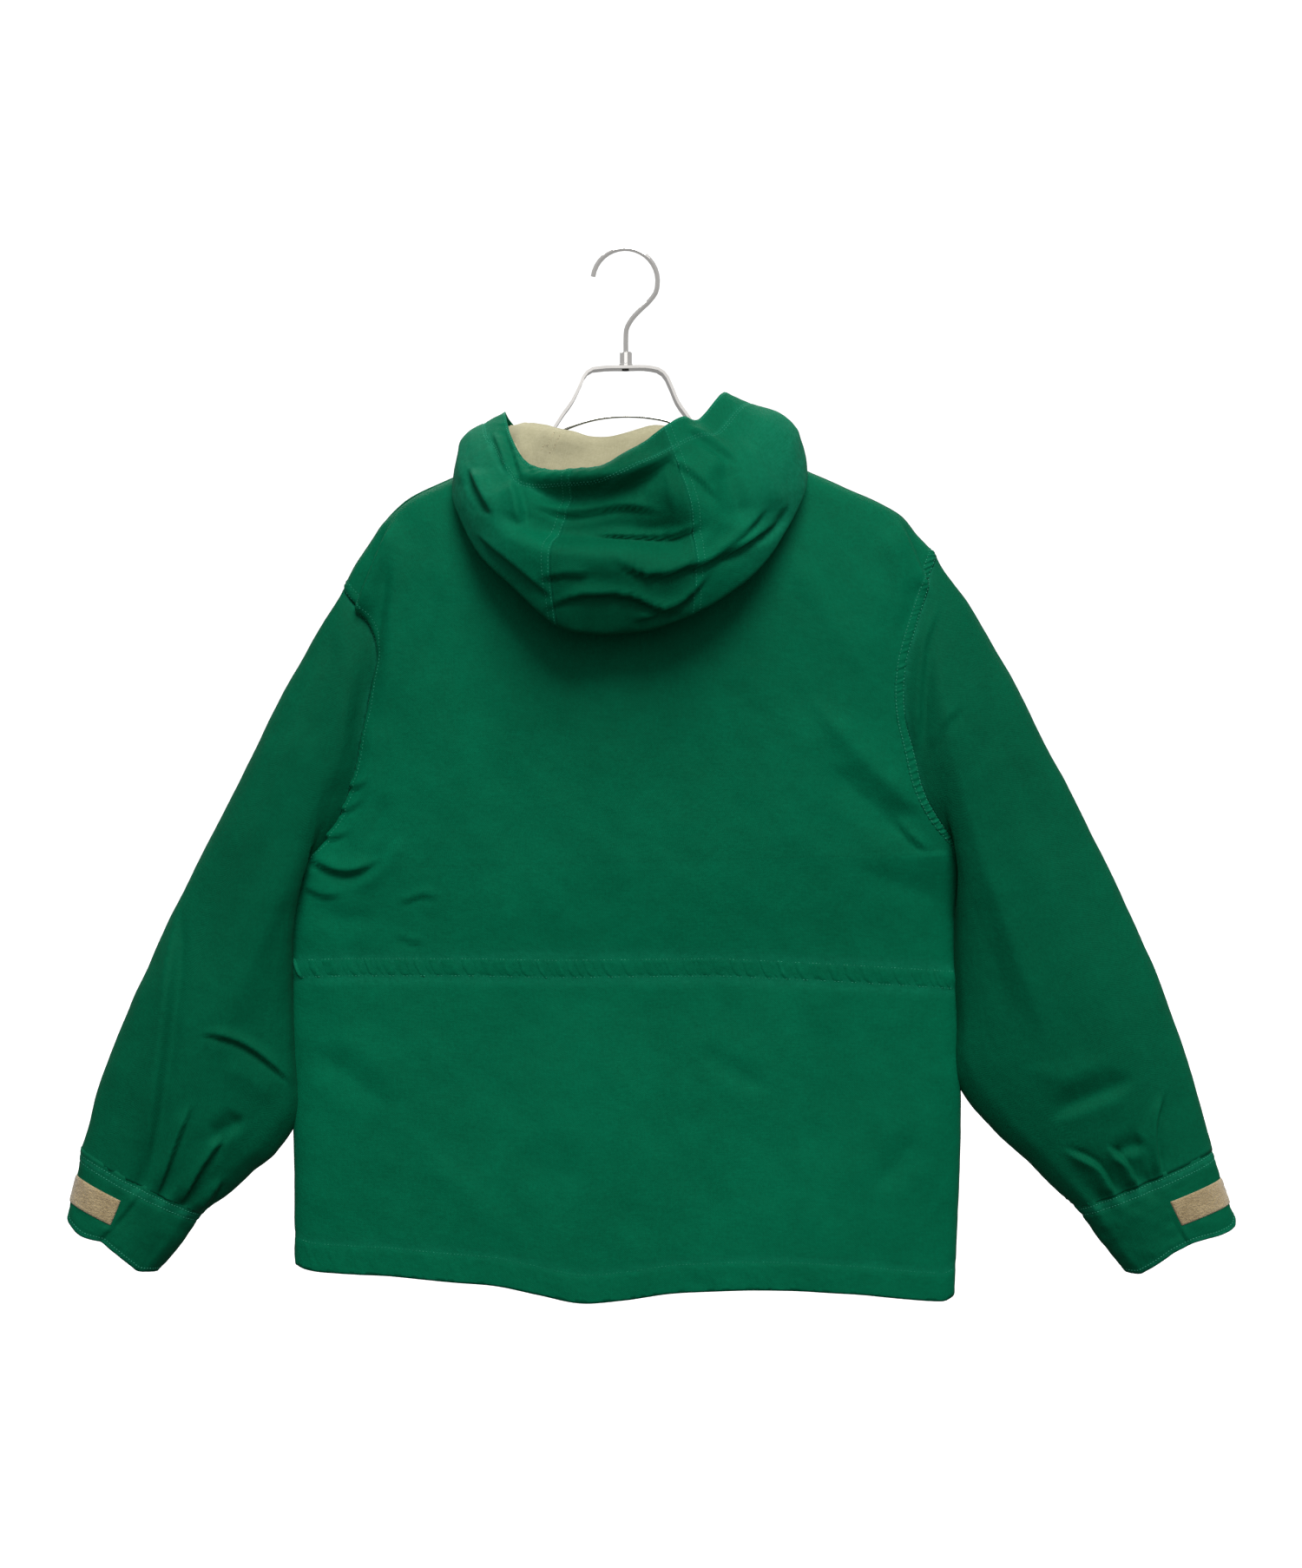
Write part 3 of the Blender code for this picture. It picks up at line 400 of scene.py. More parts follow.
def section(row, stations, side_of):
    """Half a ring of a sleeve or cuff, from its outer edge to its inner, on its back or its front."""
    outer = np.array([row[0], row[1]], float)
    inner = np.array([row[2], row[3]], float)
    place = inner + (outer - inner) * stations[:, None]
    depth = side_of * row[4] * rounded(stations, 2.0)
    return np.stack([place[:, 0], depth, place[:, 1]], axis=1)


def ring(row, stations):
    """A whole ring, closed: its last point is its first."""
    back = section(row, stations, -1)
    front = section(row, stations, 1)[::-1]
    return np.concatenate([back, front[1:]])


def armhole_ring(side):
    """The armhole seam, from the shoulder down the back to the underarm and up the front."""
    line = along(ARMHOLE[side], UP)[::-1]
    halves = []
    for face, sign in (("back", -1), ("front", 1)):
        depth = (ARMHOLE_DEPTH[(side, face)] * rounded(UP, ARMHOLE_ROUNDING))[::-1]
        share = 1 if face == "back" else FRONT_SHARE
        halves.append(np.stack([line[:, 0], sign * share * depth, line[:, 1]], axis=1))
    return np.concatenate([halves[0], halves[1][::-1][1:]])


def sleeve_grid(hand):
    """Rings from the armhole to the cuff, clear of the body's side, with pleats near the cuff."""
    table = SLEEVE[hand]
    side = side_line(hand)
    sign = -1 if hand == "left" else 1
    cuff_end = np.array([table[-1][0] + table[-1][2], table[-1][1] + table[-1][3]]) / 2
    at_armhole = UP[::-1]
    at_cuff = np.array(CUFF_STATIONS, float)
    start = ring(table[0], at_armhole)
    offset = armhole_ring(hand) - start
    rings = []
    for number, row in enumerate(table):
        down = number / (len(table) - 1)
        stations = at_armhole + (at_cuff - at_armhole) * down
        points = ring(row, stations) + offset * row[5]
        if number:
            limit = np.interp(points[:, 2], side[:, 1], side[:, 0]) + sign * SLEEVE_CLEARANCE
            points[:, 0] = sign * np.maximum(sign * points[:, 0], sign * limit)
        middle = np.array([row[0] + row[2], row[1] + row[3]]) / 2
        to_cuff = np.linalg.norm(middle - cuff_end)
        fade = max(0.0, 1 - to_cuff / PLEAT_LENGTH)
        for station in PLEAT_STATIONS:
            points[station, 1] += PLEAT_DEPTH * fade
        rings.append(points)
    return np.array(rings)


def cuff_grid(side):
    """Rings from the sleeve's end to the cuff's edge: the first is the sleeve's last."""
    stations = np.array(CUFF_STATIONS, float)
    rings = [ring(row, stations) for row in CUFF[side]]
    rings[0] = sleeve_grid(side)[-1]
    return np.array(rings)


# ---- the hood ---------------------------------------------------------------------------------


def neckline(back, fronts):
    """The neck seam, from the left front's edge round the back to the right front's, twice as fine."""
    middle = COLUMNS // 2
    left = fronts["left"][-1, NECK_FIRST : middle + 1][::-1]
    behind = back[-1, NECK_FIRST : NECK_FIRST + NECK_COLUMNS + 1]
    right = fronts["right"][-1, : middle - NECK_FIRST + 1][::-1]
    seam = np.concatenate([left, behind[1:-1], right])
    halves = (seam[1:] + seam[:-1]) / 2
    fine = np.zeros((2 * len(seam) - 1, 3))
    fine[0::2] = seam
    fine[1::2] = halves
    return fine


def clear_of_body(point, ridge, reach):
    """Lifts a point of the hood off the rounded shoulder below it, or moves it out from the body."""
    x, y, z = point
    top = np.interp(x, ridge[:, 0], ridge[:, 1])
    depth = CHEST_DEPTH * (1 if y < 0 else FRONT_SHARE)
    inside = max(abs(y) - HOOD_CLEARANCE, 0.0) / depth
    if inside < 1:
        fall = reach * (1 - (1 - inside**2) ** (1 / SHOULDER_ROUNDING))
        least = top - fall + HOOD_CLEARANCE
        if z < least and top - z < 60:
            z = least
        elif z < least:
            y = math.copysign(depth + HOOD_CLEARANCE, y)
    return x, y, z


def hood_grid(back, fronts):
    """Sections round the neck, each from the seam over the roll, down to the fold, up to the rim."""
    seam = neckline(back, fronts)
    ridge = back[-1][:, [0, 2]]
    reach = abs(ARMHOLE["left"][0][1] - SHOULDER["left"][-2][1])
    sections = []
    for number, row in enumerate(HOOD):
        values = dict(zip(HOOD_COLUMNS, row))
        bearing = math.radians(HOOD_STEP_DEG * (number - len(HOOD) // 2))
        away = np.array([math.sin(bearing), -math.cos(bearing), 0.0])
        neck = seam[number]
        fold = np.array([values["fold_x"], values["fold_y"], values["fold_z"]], float)
        rim = np.array([values["rim_x"], values["rim_y"], values["rim_z"]], float)
        roll = np.array([neck[0], neck[1], values["roll_z"]]) + away * ROLL_OUT
        wall = (roll + fold) / 2 - away * INNER_WALL_IN
        swell = (fold + rim) / 2 + away * values["bulge"]
        points = through([neck, roll, wall, fold, swell, rim], HOOD_SPANS)
        for index in range(HOOD_SPANS[0] + 1, sum(HOOD_SPANS[:4])):
            points[index] = clear_of_body(points[index], ridge, reach)
        sections.append(points)
    return np.array(sections).transpose(1, 0, 2)


# ---- fine cloth -------------------------------------------------------------------------------

WALL = 0.9  # thickness of the drawn cloth
STEP = 3.7  # between points of a panel
SLEEVE_STEP = 2.7
FINE_STEP = 1.9  # on the hood and the cuffs


def sample(grid, at, axis, closed=False):
    """Points of the smooth surface through a grid, at fractional places along one axis."""
    grid = np.moveaxis(np.asarray(grid, float), axis, 0)
    at = np.asarray(at, float)
    if closed:
        grid = np.concatenate([grid[-2:-1], grid, grid[1:2]])
        at = at + 1
    slopes = np.gradient(grid, axis=0)
    low = np.clip(at.astype(int), 0, len(grid) - 2)
    t = (at - low).reshape((-1,) + (1,) * (grid.ndim - 1))
    made = cubic(t, grid[low], grid[low + 1], slopes[low], slopes[low + 1])
    return np.moveaxis(made, 0, axis)


def even(grid, step, axis, first=0, last=None):
    """Fractional places along an axis, a step apart on the mean line."""
    last = grid.shape[axis] - 1 if last is None else last
    fine = np.linspace(first, last, 16 * (last - first) + 1)
    points = sample(grid, fine, axis)
    run = np.linalg.norm(np.diff(points, axis=axis), axis=2).mean(axis=1 - axis)
    steps = running(run * (1 / step))
    count = max(3, int(round(steps[-1])) + 1)
    return np.interp(np.linspace(0, steps[-1], count), steps, fine)


def outward(grid, flip, closed=False):
    """The normal at each point of a grid."""
    up = np.gradient(grid, axis=0)
    across = np.gradient(grid, axis=1)
    if closed:
        across[:, 0] = across[:, -1] = (grid[:, 1] - grid[:, -2]) / 2
    normal = np.cross(across, up) * (-1 if flip else 1)
    return normal / np.maximum(np.linalg.norm(normal, axis=2, keepdims=True), 1e-9)


def distance_along(grid, axis, from_end=False):
    """How far each point lies from the grid's first or last line, along the cloth."""
    run = np.linalg.norm(np.diff(grid, axis=axis), axis=2)
    zero = np.zeros_like(np.take(run, [0], axis=axis))
    if from_end:
        run = np.flip(np.cumsum(np.flip(run, axis), axis=axis), axis)
        return np.concatenate([run, zero], axis=axis)
    return np.concatenate([zero, np.cumsum(run, axis=axis)], axis=axis)


def line_at(values, level, grid, normals, axis):
    """The line on a grid where values cross a level, walking along an axis, with its normals."""
    values = np.moveaxis(values - level, axis, 0)
    grid, normals = np.moveaxis(grid, axis, 0), np.moveaxis(normals, axis, 0)
    points, facing = [], []
    for index in range(values.shape[1]):
        signs = values[:, index]
        cross = np.nonzero(signs[:-1] * signs[1:] <= 0)[0]
        if not len(cross):
            continue
        low = cross[0]
        share = signs[low] / (signs[low] - signs[low + 1] + 1e-12)
        points.append(grid[low, index] * (1 - share) + grid[low + 1, index] * share)
        facing.append(normals[low, index] * (1 - share) + normals[low + 1, index] * share)
    return np.array(points), np.array(facing)


# ---- creases ----------------------------------------------------------------------------------

RIPPLE_WAVES = 7


def hill(away, width):
    """1 at a line, and less on both sides of it."""
    return np.exp(-((away / width) ** 2))


def ripple(a, b, size, seed):
    """Smooth unevenness about a size across, mostly between -1 and 1."""
    pick = np.random.default_rng(seed)
    total = np.zeros(np.broadcast(a, b).shape)
    for _ in range(RIPPLE_WAVES):
        angle = pick.uniform(0, math.pi)
        rate = pick.uniform(0.6, 1.5) / size
        phase = pick.uniform(0, 2 * math.pi)
        total = total + np.sin(2 * math.pi * rate * (a * math.cos(angle) + b * math.sin(angle)) + phase)
    return total / RIPPLE_WAVES * 1.6


def from_path(u, v, path):
    """The signed distance from a path, in pixels and positive on its right, and the place along it."""
    path = np.array(path, float)
    lengths = np.linalg.norm(np.diff(path, axis=0), axis=1)
    before = running(lengths)
    best = np.full(u.shape, 1e9)
    signed, place = np.zeros(u.shape), np.zeros(u.shape)
    for index, length in enumerate(lengths):
        du, dv = (path[index + 1] - path[index]) / length
        au, av = u - path[index, 0], v - path[index, 1]
        share = np.clip(au * du + av * dv, 0, length)
        away = np.hypot(au - share * du, av - share * dv)
        nearer = away < best
        best = np.where(nearer, away, best)
        signed = np.where(nearer, away * np.where(du * av - dv * au < 0, -1, 1), signed)
        place = np.where(nearer, (before[index] + share) / before[-1], place)
    return signed, place


def smooth_path(points):
    """A rounder path through a crease's few points, with 8 steps from one to the next."""
    points = np.array(points, float)
    last = len(points) - 1
    return sample(points[:, None], np.linspace(0, last, 8 * last + 1), 0)[:, 0]


# How far a crease stands out, by the distance from its path in half widths; the right side is positive.
PROFILES = {
    "ridge": [(-2.6, 0), (-1.7, 0.08), (-1, 0.28), (-0.45, 0.68), (0, 1), (0.45, 0.68), (1, 0.28),
              (1.7, 0.08), (2.6, 0)],
    "trough": [(-2.6, 0), (-1.6, 0.06), (-1, -0.2), (-0.5, -0.6), (0, -1), (0.5, -0.6), (1, -0.2),
               (1.6, 0.06), (2.6, 0)],
    "fold": [(-3.4, 0), (-2.4, 0.14), (-1.4, 0.5), (-0.7, 0.88), (-0.32, 1), (0, 0.3), (0.3, -0.62),
             (0.55, -0.75), (1, -0.48), (1.6, -0.2), (2.4, -0.05), (3.4, 0)],
    "hollow": [(-3.2, 0), (-2.4, -0.12), (-1.4, -0.55), (-0.6, -0.92), (-0.1, -1), (0.3, -0.8),
               (0.8, -0.15), (1.2, 0.14), (1.8, 0.16), (2.6, 0.05), (3.4, 0)],
}
PROFILE_AT = np.linspace(-4, 4, 321)
CORNER = 0.16  # rounding of a profile's corners, in half widths


def softened(knots):
    """A profile's values with its corners rounded."""
    values = np.interp(PROFILE_AT, *np.array(knots, float).T)
    reach = np.arange(-24, 25) * (PROFILE_AT[1] - PROFILE_AT[0])
    weights = hill(reach, CORNER)
    return np.convolve(values, weights / weights.sum(), mode="same")


PROFILE_VALUES = {kind: softened(knots) for kind, knots in PROFILES.items()}


def crease(u, v, kind, depth, width, path):
    """How far one crease moves the cloth out."""
    if len(path) > 2:
        path = smooth_path(path)
    signed, place = from_path(u, v, path)
    ends = np.clip(np.minimum(place, 1 - place) / 0.3, 0, 1)
    ends = ends * ends * (3 - 2 * ends)
    width = width * (0.5 + 0.5 * ends)
    return depth * ends * np.interp(signed / width, PROFILE_AT, PROFILE_VALUES[kind])


def creased(grid, normals, table, face=-1.0):
    """The sum of a table's creases, only where the cloth faces the camera, or away from it."""
    u, v = seen(grid)
    total = np.zeros(u.shape)
    for kind, depth, width, path in table:
        total += crease(u, v, kind, depth, width, path)
    return total * np.clip(face * normals[..., 1] * 4, 0, 1)


def puckers(along, away, length, reach, seed):
    """Short gathers across a seam: along and away are measured from it."""
    bend = 0.35 * ripple(along, along * 0, 6 * length, seed)
    strength = 0.65 + 0.35 * ripple(along, along * 0, 3 * length, seed + 1)
    wave = np.cos(2 * math.pi * (along / length + bend) + 0.12 * away / length)
    return (1 - 1.6 * np.abs(wave) ** 0.8) * strength * hill(away, reach)


def groove(away, width):
    """The dent that a row of stitches pulls."""
    return -hill(away, width)


# ---- making pieces ----------------------------------------------------------------------------


def mesh_piece(name, points, faces, material, smooth=True):
    """A piece from points in millimetres."""
    data = bpy.data.meshes.new(name)
    data.from_pydata([tuple(p) for p in np.asarray(points, float) * MM], [], faces)
    data.materials.append(material)
    data.update()
    piece = bpy.data.objects.new(name, data)
    bpy.context.scene.collection.objects.link(piece)
    if smooth:
        data.polygons.foreach_set("use_smooth", [True] * len(data.polygons))
    return piece


def face_out(piece):
    """Turns a closed piece's faces outwards."""
    mesh = bmesh.new()
    mesh.from_mesh(piece.data)
    bmesh.ops.recalc_face_normals(mesh, faces=mesh.faces)
    mesh.to_mesh(piece.data)
    mesh.free()


def apply_modifiers(piece):
    """Applies a piece's modifiers, first to last."""
    bpy.ops.object.select_all(action="DESELECT")
    piece.select_set(True)
    bpy.context.view_layer.objects.active = piece
    for modifier in list(piece.modifiers):
        bpy.ops.object.modifier_apply(modifier=modifier.name)


def shell(name, grid, flip, material, thick=WALL, closed=False, wear_and_painted_light=None):
    """A piece of cloth: its outer face is the grid, with a thin wall inwards, a UV map and its share of
    fading, which is real rubbing and, on the hood's sides, painted light.
    """
    rows, columns = grid.shape[:2]
    count = columns - 1 if closed else columns
    order = -1 if flip else 1
    faces, places = [], []
    for r in range(rows - 1):
        for c in range(columns - 1):
            corners = [(r, c), (r, c + 1), (r + 1, c + 1), (r + 1, c)][::order]
            faces.append([row * count + column % count for row, column in corners])
            places.extend(corners)
    piece = mesh_piece(name, grid[:, :count].reshape(-1, 3), faces, material)
    data = piece.data
    at_row, at_column = np.array(places).T
    flat = np.stack([distance_along(grid, axis)[at_row, at_column] * MM for axis in (1, 0)], axis=1)
    data.uv_layers.new(name="weave").data.foreach_set("uv", flat.ravel())
    worn = data.attributes.new("wear_and_painted_light", "FLOAT", "POINT")
    amount = np.zeros((rows, columns)) if wear_and_painted_light is None else wear_and_painted_light
    worn.data.foreach_set("value", amount[:, :count].ravel())
    solid = piece.modifiers.new("wall", "SOLIDIFY")
    solid.thickness = thick * MM
    solid.offset = -1
    apply_modifiers(piece)
    for rim in data.polygons[2 * len(faces) :]:
        rim.use_smooth = False  # so that the outer face is shaded right up to its edge
    return piece


STITCH_PITCH = 3.1
STITCH_LENGTH = 2.3
THREAD = 0.4  # half a stitch's width
STITCH_FACES = [(0, 3, 2), (1, 2, 3), (0, 4, 3), (1, 3, 4), (0, 5, 4), (1, 4, 5), (0, 2, 5), (1, 5, 2)]


def stitches(name, lines, material, pitch=STITCH_PITCH, thread=THREAD):
    """Rows of stitches along lines, each a line's points and normals."""
    points, faces = [], []
    for line, normals in lines:
        if len(line) < 2:
            continue
        length = line_length(line)
        for spot in np.arange(pitch / 2, length[-1], pitch):
            ends = [at_length(line, length, spot + sign * STITCH_LENGTH / 2) for sign in (-1, 1)]
            normal = at_length(normals, length, spot)
            normal /= np.linalg.norm(normal) + 1e-9
            side = np.cross(ends[1] - ends[0], normal)
            side *= thread / (np.linalg.norm(side) + 1e-9)
            middle = (ends[0] + ends[1]) / 2
            faces += [tuple(len(points) + corner for corner in face) for face in STITCH_FACES]
            points += [ends[0] - normal * 0.1, ends[1] - normal * 0.1, middle + normal * thread * 1.3,
                       middle + side, middle - normal * 0.2, middle - side]
    piece = mesh_piece(name, points, faces, material)
    face_out(piece)
    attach(piece, "parka")
    return piece


def band(name, field, width, grid, normals, axis, rise, gathers, rows, seed, step=1.3):
    """A stitched-down strip over a panel, from where a field is 0 to where it is the strip's width."""
    levels = np.linspace(0, width, int(round(width / step)) + 1)
    lines = [line_at(field, level, grid, normals, axis) for level in levels]
    coarse = np.stack([line[0] for line in lines], axis=1)
    facing = np.stack([line[1] for line in lines], axis=1)
    places = even(coarse, step, 0)
    fine, facing = sample(coarse, places, 0), sample(facing, places, 0)
    facing /= np.linalg.norm(facing, axis=2, keepdims=True)
    run = distance_along(fine, 0)
    away = np.broadcast_to(levels, run.shape)
    body = (1 - np.exp(-away / 0.5)) * (1 - np.exp(-(width - away) / 0.5))
    ends = 1 + 1.6 * hill(run, 24) + 1.6 * hill(run - run[-1:], 24)
    out = -0.25 + rise * body + 0.1 * ripple(run, away, 12, seed)
    for length, depth in gathers:
        patchy = 0.7 + 0.6 * ripple(run, away, 9 * length, seed + 7)
        waves = puckers(run + 0.4 * away, away - width / 2, length, width, seed)
        out = out + ends * patchy * depth * waves * (0.3 + 0.7 * body)
    for level in rows:
        out = out + 0.4 * groove(away - level, 0.9)
    fine = fine + facing * out[..., None]
    flip = (outward(fine, False) * facing).sum() < 0
    patchy = 0.6 + 0.6 * ripple(run, away, 40, seed + 5)
    wear_and_painted_light = patchy * (0.55 * np.exp(-away / 0.8) + 0.55 * np.exp(-(width - away) / 0.8))
    wear_and_painted_light = wear_and_painted_light + 0.5 * np.clip(out - rise * 0.8, 0, 1)
    piece = shell(name, fine, flip, POPLIN, thick=0.5, wear_and_painted_light=np.clip(wear_and_painted_light, 0, 1))
    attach(piece, "parka")
    return piece, [line_at(away, level, fine, outward(fine, flip), 1) for level in rows]


# ---- shaders ----------------------------------------------------------------------------------


class Value:
    """A shader socket, with arithmetic that adds Math nodes."""

    def __init__(self, tree, socket):
        self.tree, self.socket = tree, socket

    def maths(self, operation, other):
        made = self.tree.nodes.new("ShaderNodeMath")
        made.operation = operation
        for slot, item in zip(made.inputs, (self, other)):
            if isinstance(item, Value):
                self.tree.links.new(item.socket, slot)
            else:
                slot.default_value = item
        return Value(self.tree, made.outputs[0])

    def sine(self):
        return self.maths("SINE", 0.0)

    def __add__(self, other):
        return self.maths("ADD", other)

    def __sub__(self, other):
        return self.maths("SUBTRACT", other)

    def __mul__(self, other):
        return self.maths("MULTIPLY", other)

    __radd__, __rmul__ = __add__, __mul__


class Shading:
    """A node tree in the making."""

    def __init__(self, tree):
        self.tree = tree

    def node(self, kind, output=0, settings=None, **inputs):
        """A node's output; an input is named by its label, or by _ and its number."""
        made = self.tree.nodes.new("ShaderNode" + kind)
        for name, value in (settings or {}).items():
            setattr(made, name, value)
        for name, value in inputs.items():
            slot = made.inputs[int(name[1:]) if name[1:].isdigit() else name.replace("_", " ")]
            if isinstance(value, Value):
                self.tree.links.new(value.socket, slot)
            else:
                slot.default_value = value
        return Value(self.tree, made.outputs[output])


class Finish(Shading):
    """A material in the making: one Principled shader and what feeds it."""

    def __init__(self, name, **constants):
        self.material = bpy.data.materials.new(name)
        self.material.use_nodes = True
        super().__init__(self.material.node_tree)
        self.shader = self.tree.nodes["Principled BSDF"]
        for socket, value in constants.items():
            self.shader.inputs[socket.replace("_", " ")].default_value = value

    def feed(self, socket, value):
        self.tree.links.new(value.socket, self.shader.inputs[socket])

    def place(self):
        return self.node("TexCoord", "Object")

    def noise(self, place, scale, detail=3.0, roughness=0.55):
        return self.node("TexNoise", Vector=place, Scale=scale, Detail=detail, Roughness=roughness)

    def stretched(self, place, scale):
        return self.node("Mapping", Vector=place, Scale=scale)

    def fit(self, value, low, high, start=0.0, end=1.0):
        return self.node("MapRange", Value=value, From_Min=low, From_Max=high, To_Min=start, To_Max=end)

    def mix(self, share, first, second):
        return self.node("Mix", 2, {"data_type": "RGBA"}, _0=share, _6=first, _7=second)

    def bump(self, height, strength, distance, **before):
        return self.node("Bump", Height=height, Strength=strength, Distance=distance, **before)


THREAD_RATE = 1500.0  # threads a metre, each way


def woven(name, deep, base, faded_and_lit, worn, sheen, roughness, coarse=1.0):
    """Plain woven cloth: crossing threads, slubs, uneven dye, and fading towards a paler green, for real
    rubbing and, on the hood's sides, for painted light.
    """
    made = Finish(name, Sheen_Weight=sheen, Sheen_Roughness=0.4, Specular_IOR_Level=0.03)
    made.shader.inputs["Sheen Tint"].default_value = (*[min(1.0, 0.35 + 2.2 * c) for c in faded_and_lit], 1)
    place = made.place()
    threads = made.node("UVMap", 0, {"uv_map": "weave"})
    across = made.node("SeparateXYZ", Vector=threads)
    along = Value(made.tree, across.socket.node.outputs[1])
    rate = THREAD_RATE / coarse
    warp, weft = [way * (rate * math.pi) for way in (across, along)]
    weave = warp.sine() * weft.sine()
    slub_up = made.noise(made.stretched(threads, (900.0, 60.0, 1.0)), 1.0, 2.0)
    slub_across = made.noise(made.stretched(threads, (60.0, 900.0, 1.0)), 1.0, 2.0)
    slubs = (slub_up + slub_across) * 0.5
    cloudy = made.noise(place, 5.5, 5.0, 0.6)
    mottle = made.noise(place, 42.0, 4.0, 0.65)
    speckle = made.noise(place, 380.0, 2.0, 0.7)
    tone = made.fit(cloudy * 0.35 + mottle * 0.25 + slubs * 0.3 + speckle * 0.3, 0.46, 0.74)
    dyed = made.mix(tone, (*deep, 1), (*base, 1))
    wear_and_painted_light = made.node("Attribute", 2, {"attribute_name": "wear_and_painted_light"})
    grain = made.fit(made.noise(place, 260.0, 2.0), 0.35, 0.7)
    # The share of fading: real rubbing, and painted light on the hood's sides.
    rubbed = made.fit(wear_and_painted_light * (0.45 + 0.75 * grain), 0.0, 1.0)
    colour = made.mix(rubbed, dyed, (*faded_and_lit, 1))
    threads_tone = made.fit(weave, -1.0, 1.0, 0.0, 1.0)
    colour = made.mix(0.10, colour, made.mix(threads_tone, (*deep, 1), (*worn, 1)))
    made.feed("Base Color", colour)
    made.feed("Roughness", made.fit(mottle * 0.5 + slubs * 0.5, 0.3, 0.7, roughness - 0.06, roughness + 0.07))
    fine = made.bump(weave * 0.5 + slubs, 0.5, 0.0003 * coarse)
    crumple = made.noise(place, 75.0, 5.0, 0.62)
    made.feed("Normal", made.bump(crumple, 0.5, 0.0016, Normal=fine))
    return made.material


def pile(name, deep, light):
    """The looped pile of a fastening tape."""
    made = Finish(name, Sheen_Weight=0.5, Sheen_Roughness=0.6, Specular_IOR_Level=0.2, Roughness=0.95)
    place = made.place()
    loops = made.node("TexVoronoi", Vector=place, Scale=900.0, Randomness=1.0)
    fuzz = made.noise(place, 420.0, 5.0, 0.75)
    patch = made.noise(place, 60.0, 3.0)
    tone = made.fit(fuzz * 0.6 + patch * 0.4 - loops * 0.25, 0.25, 0.6)
    made.feed("Base Color", made.mix(tone, (*deep, 1), (*light, 1)))
    made.feed("Normal", made.bump(fuzz - loops * 0.6, 0.8, 0.0009))
    return made.material


def metal(name, colour, roughness, brushed, streak):
    """Plated or brushed steel with fine scratches, smudges and a little dullness."""
    made = Finish(name, Metallic=1.0)
    place = made.place()
    lines = made.noise(made.stretched(place, streak), 1.0, 4.0, 0.7)
    smudge = made.noise(place, 35.0, 4.0, 0.6)
    tone = made.fit(smudge, 0.3, 0.75)
    made.feed("Base Color", made.mix(tone, (*[c * 0.86 for c in colour], 1), (*colour, 1)))
    made.feed("Roughness", made.fit(smudge * 0.5 + lines * 0.5, 0.25, 0.75, roughness * 0.7, roughness * 1.4))
    made.feed("Normal", made.bump(lines, brushed, 0.0002))
    return made.material


def moulded(name, colour, roughness):
    """Moulded plastic with a slight orange peel and paler rubbed spots."""
    made = Finish(name, Specular_IOR_Level=0.45)
    place = made.place()
    speck = made.noise(place, 500.0, 3.0)
    tone = made.fit(made.noise(place, 30.0, 3.0), 0.3, 0.7)
    made.feed("Base Color", made.mix(tone, (*colour, 1), (*[min(1, c * 1.5 + 0.01) for c in colour], 1)))
    made.feed("Roughness", made.fit(speck, 0.3, 0.7, roughness - 0.08, roughness + 0.1))
    made.feed("Normal", made.bump(speck, 0.25, 0.0002))
    return made.material


DEEP_GREEN = (0.0, 0.088, 0.039)
GREEN = (0.0001, 0.134, 0.062)
# The paler green that the cloth fades to where it is rubbed; on the hood's sides it also stands for painted
# light.
FADED_AND_LIT_GREEN = (0.010, 0.220, 0.125)
PALE_GREEN = (0.012, 0.24, 0.13)
POPLIN = woven("green poplin", DEEP_GREEN, GREEN, FADED_AND_LIT_GREEN, PALE_GREEN, 0.015, 0.6)
# A darker copy of the same poplin: painted shade on the sleeves, the cuffs and the hood's middle panel.
SHADED_POPLIN = woven("green poplin darkened as painted shade", (0.0, 0.064, 0.028), (0.0001, 0.102, 0.046),
                      FADED_AND_LIT_GREEN, PALE_GREEN, 0.015, 0.6)
LINING_CLOTH = woven("beige lining cloth", (0.36, 0.335, 0.205), (0.46, 0.43, 0.28),
                     (0.56, 0.53, 0.37), (0.62, 0.59, 0.44), 0.08, 0.72, 0.8)
TAPE_CLOTH = woven("green zip tape", (0.001, 0.05, 0.024), (0.002, 0.075, 0.036), (0.008, 0.14, 0.07),
                   (0.012, 0.17, 0.09), 0.1, 0.8, 2.2)
THREAD_GREEN = woven("green thread", (0.03, 0.27, 0.17), (0.06, 0.36, 0.24),
                     (0.09, 0.42, 0.29), (0.1, 0.45, 0.32), 0.1, 0.6)
THREAD_BEIGE = woven("beige thread", (0.5, 0.42, 0.26), (0.62, 0.54, 0.36),
                     (0.7, 0.62, 0.42), (0.75, 0.68, 0.5), 0.1, 0.6)
LOOP_PILE = pile("tan loop pile", (0.24, 0.17, 0.075), (0.47, 0.36, 0.19))
TEETH_PLASTIC = moulded("green moulded teeth", (0.002, 0.07, 0.035), 0.42)
NICKEL = metal("worn nickel", (0.66, 0.65, 0.62), 0.3, 0.15, (400.0, 400.0, 60.0))
SATIN_STEEL = metal("satin steel", (0.62, 0.60, 0.575), 0.34, 0.03, (60.0, 900.0, 60.0))
CHROME = metal("polished chrome", (0.82, 0.80, 0.77), 0.12, 0.03, (300.0, 300.0, 120.0))


# ---- creases, as the camera sees them ---------------------------------------------------------
# Each: kind, depth in mm, half width in pixels, path in pixels. A fold hangs over the right of its path.

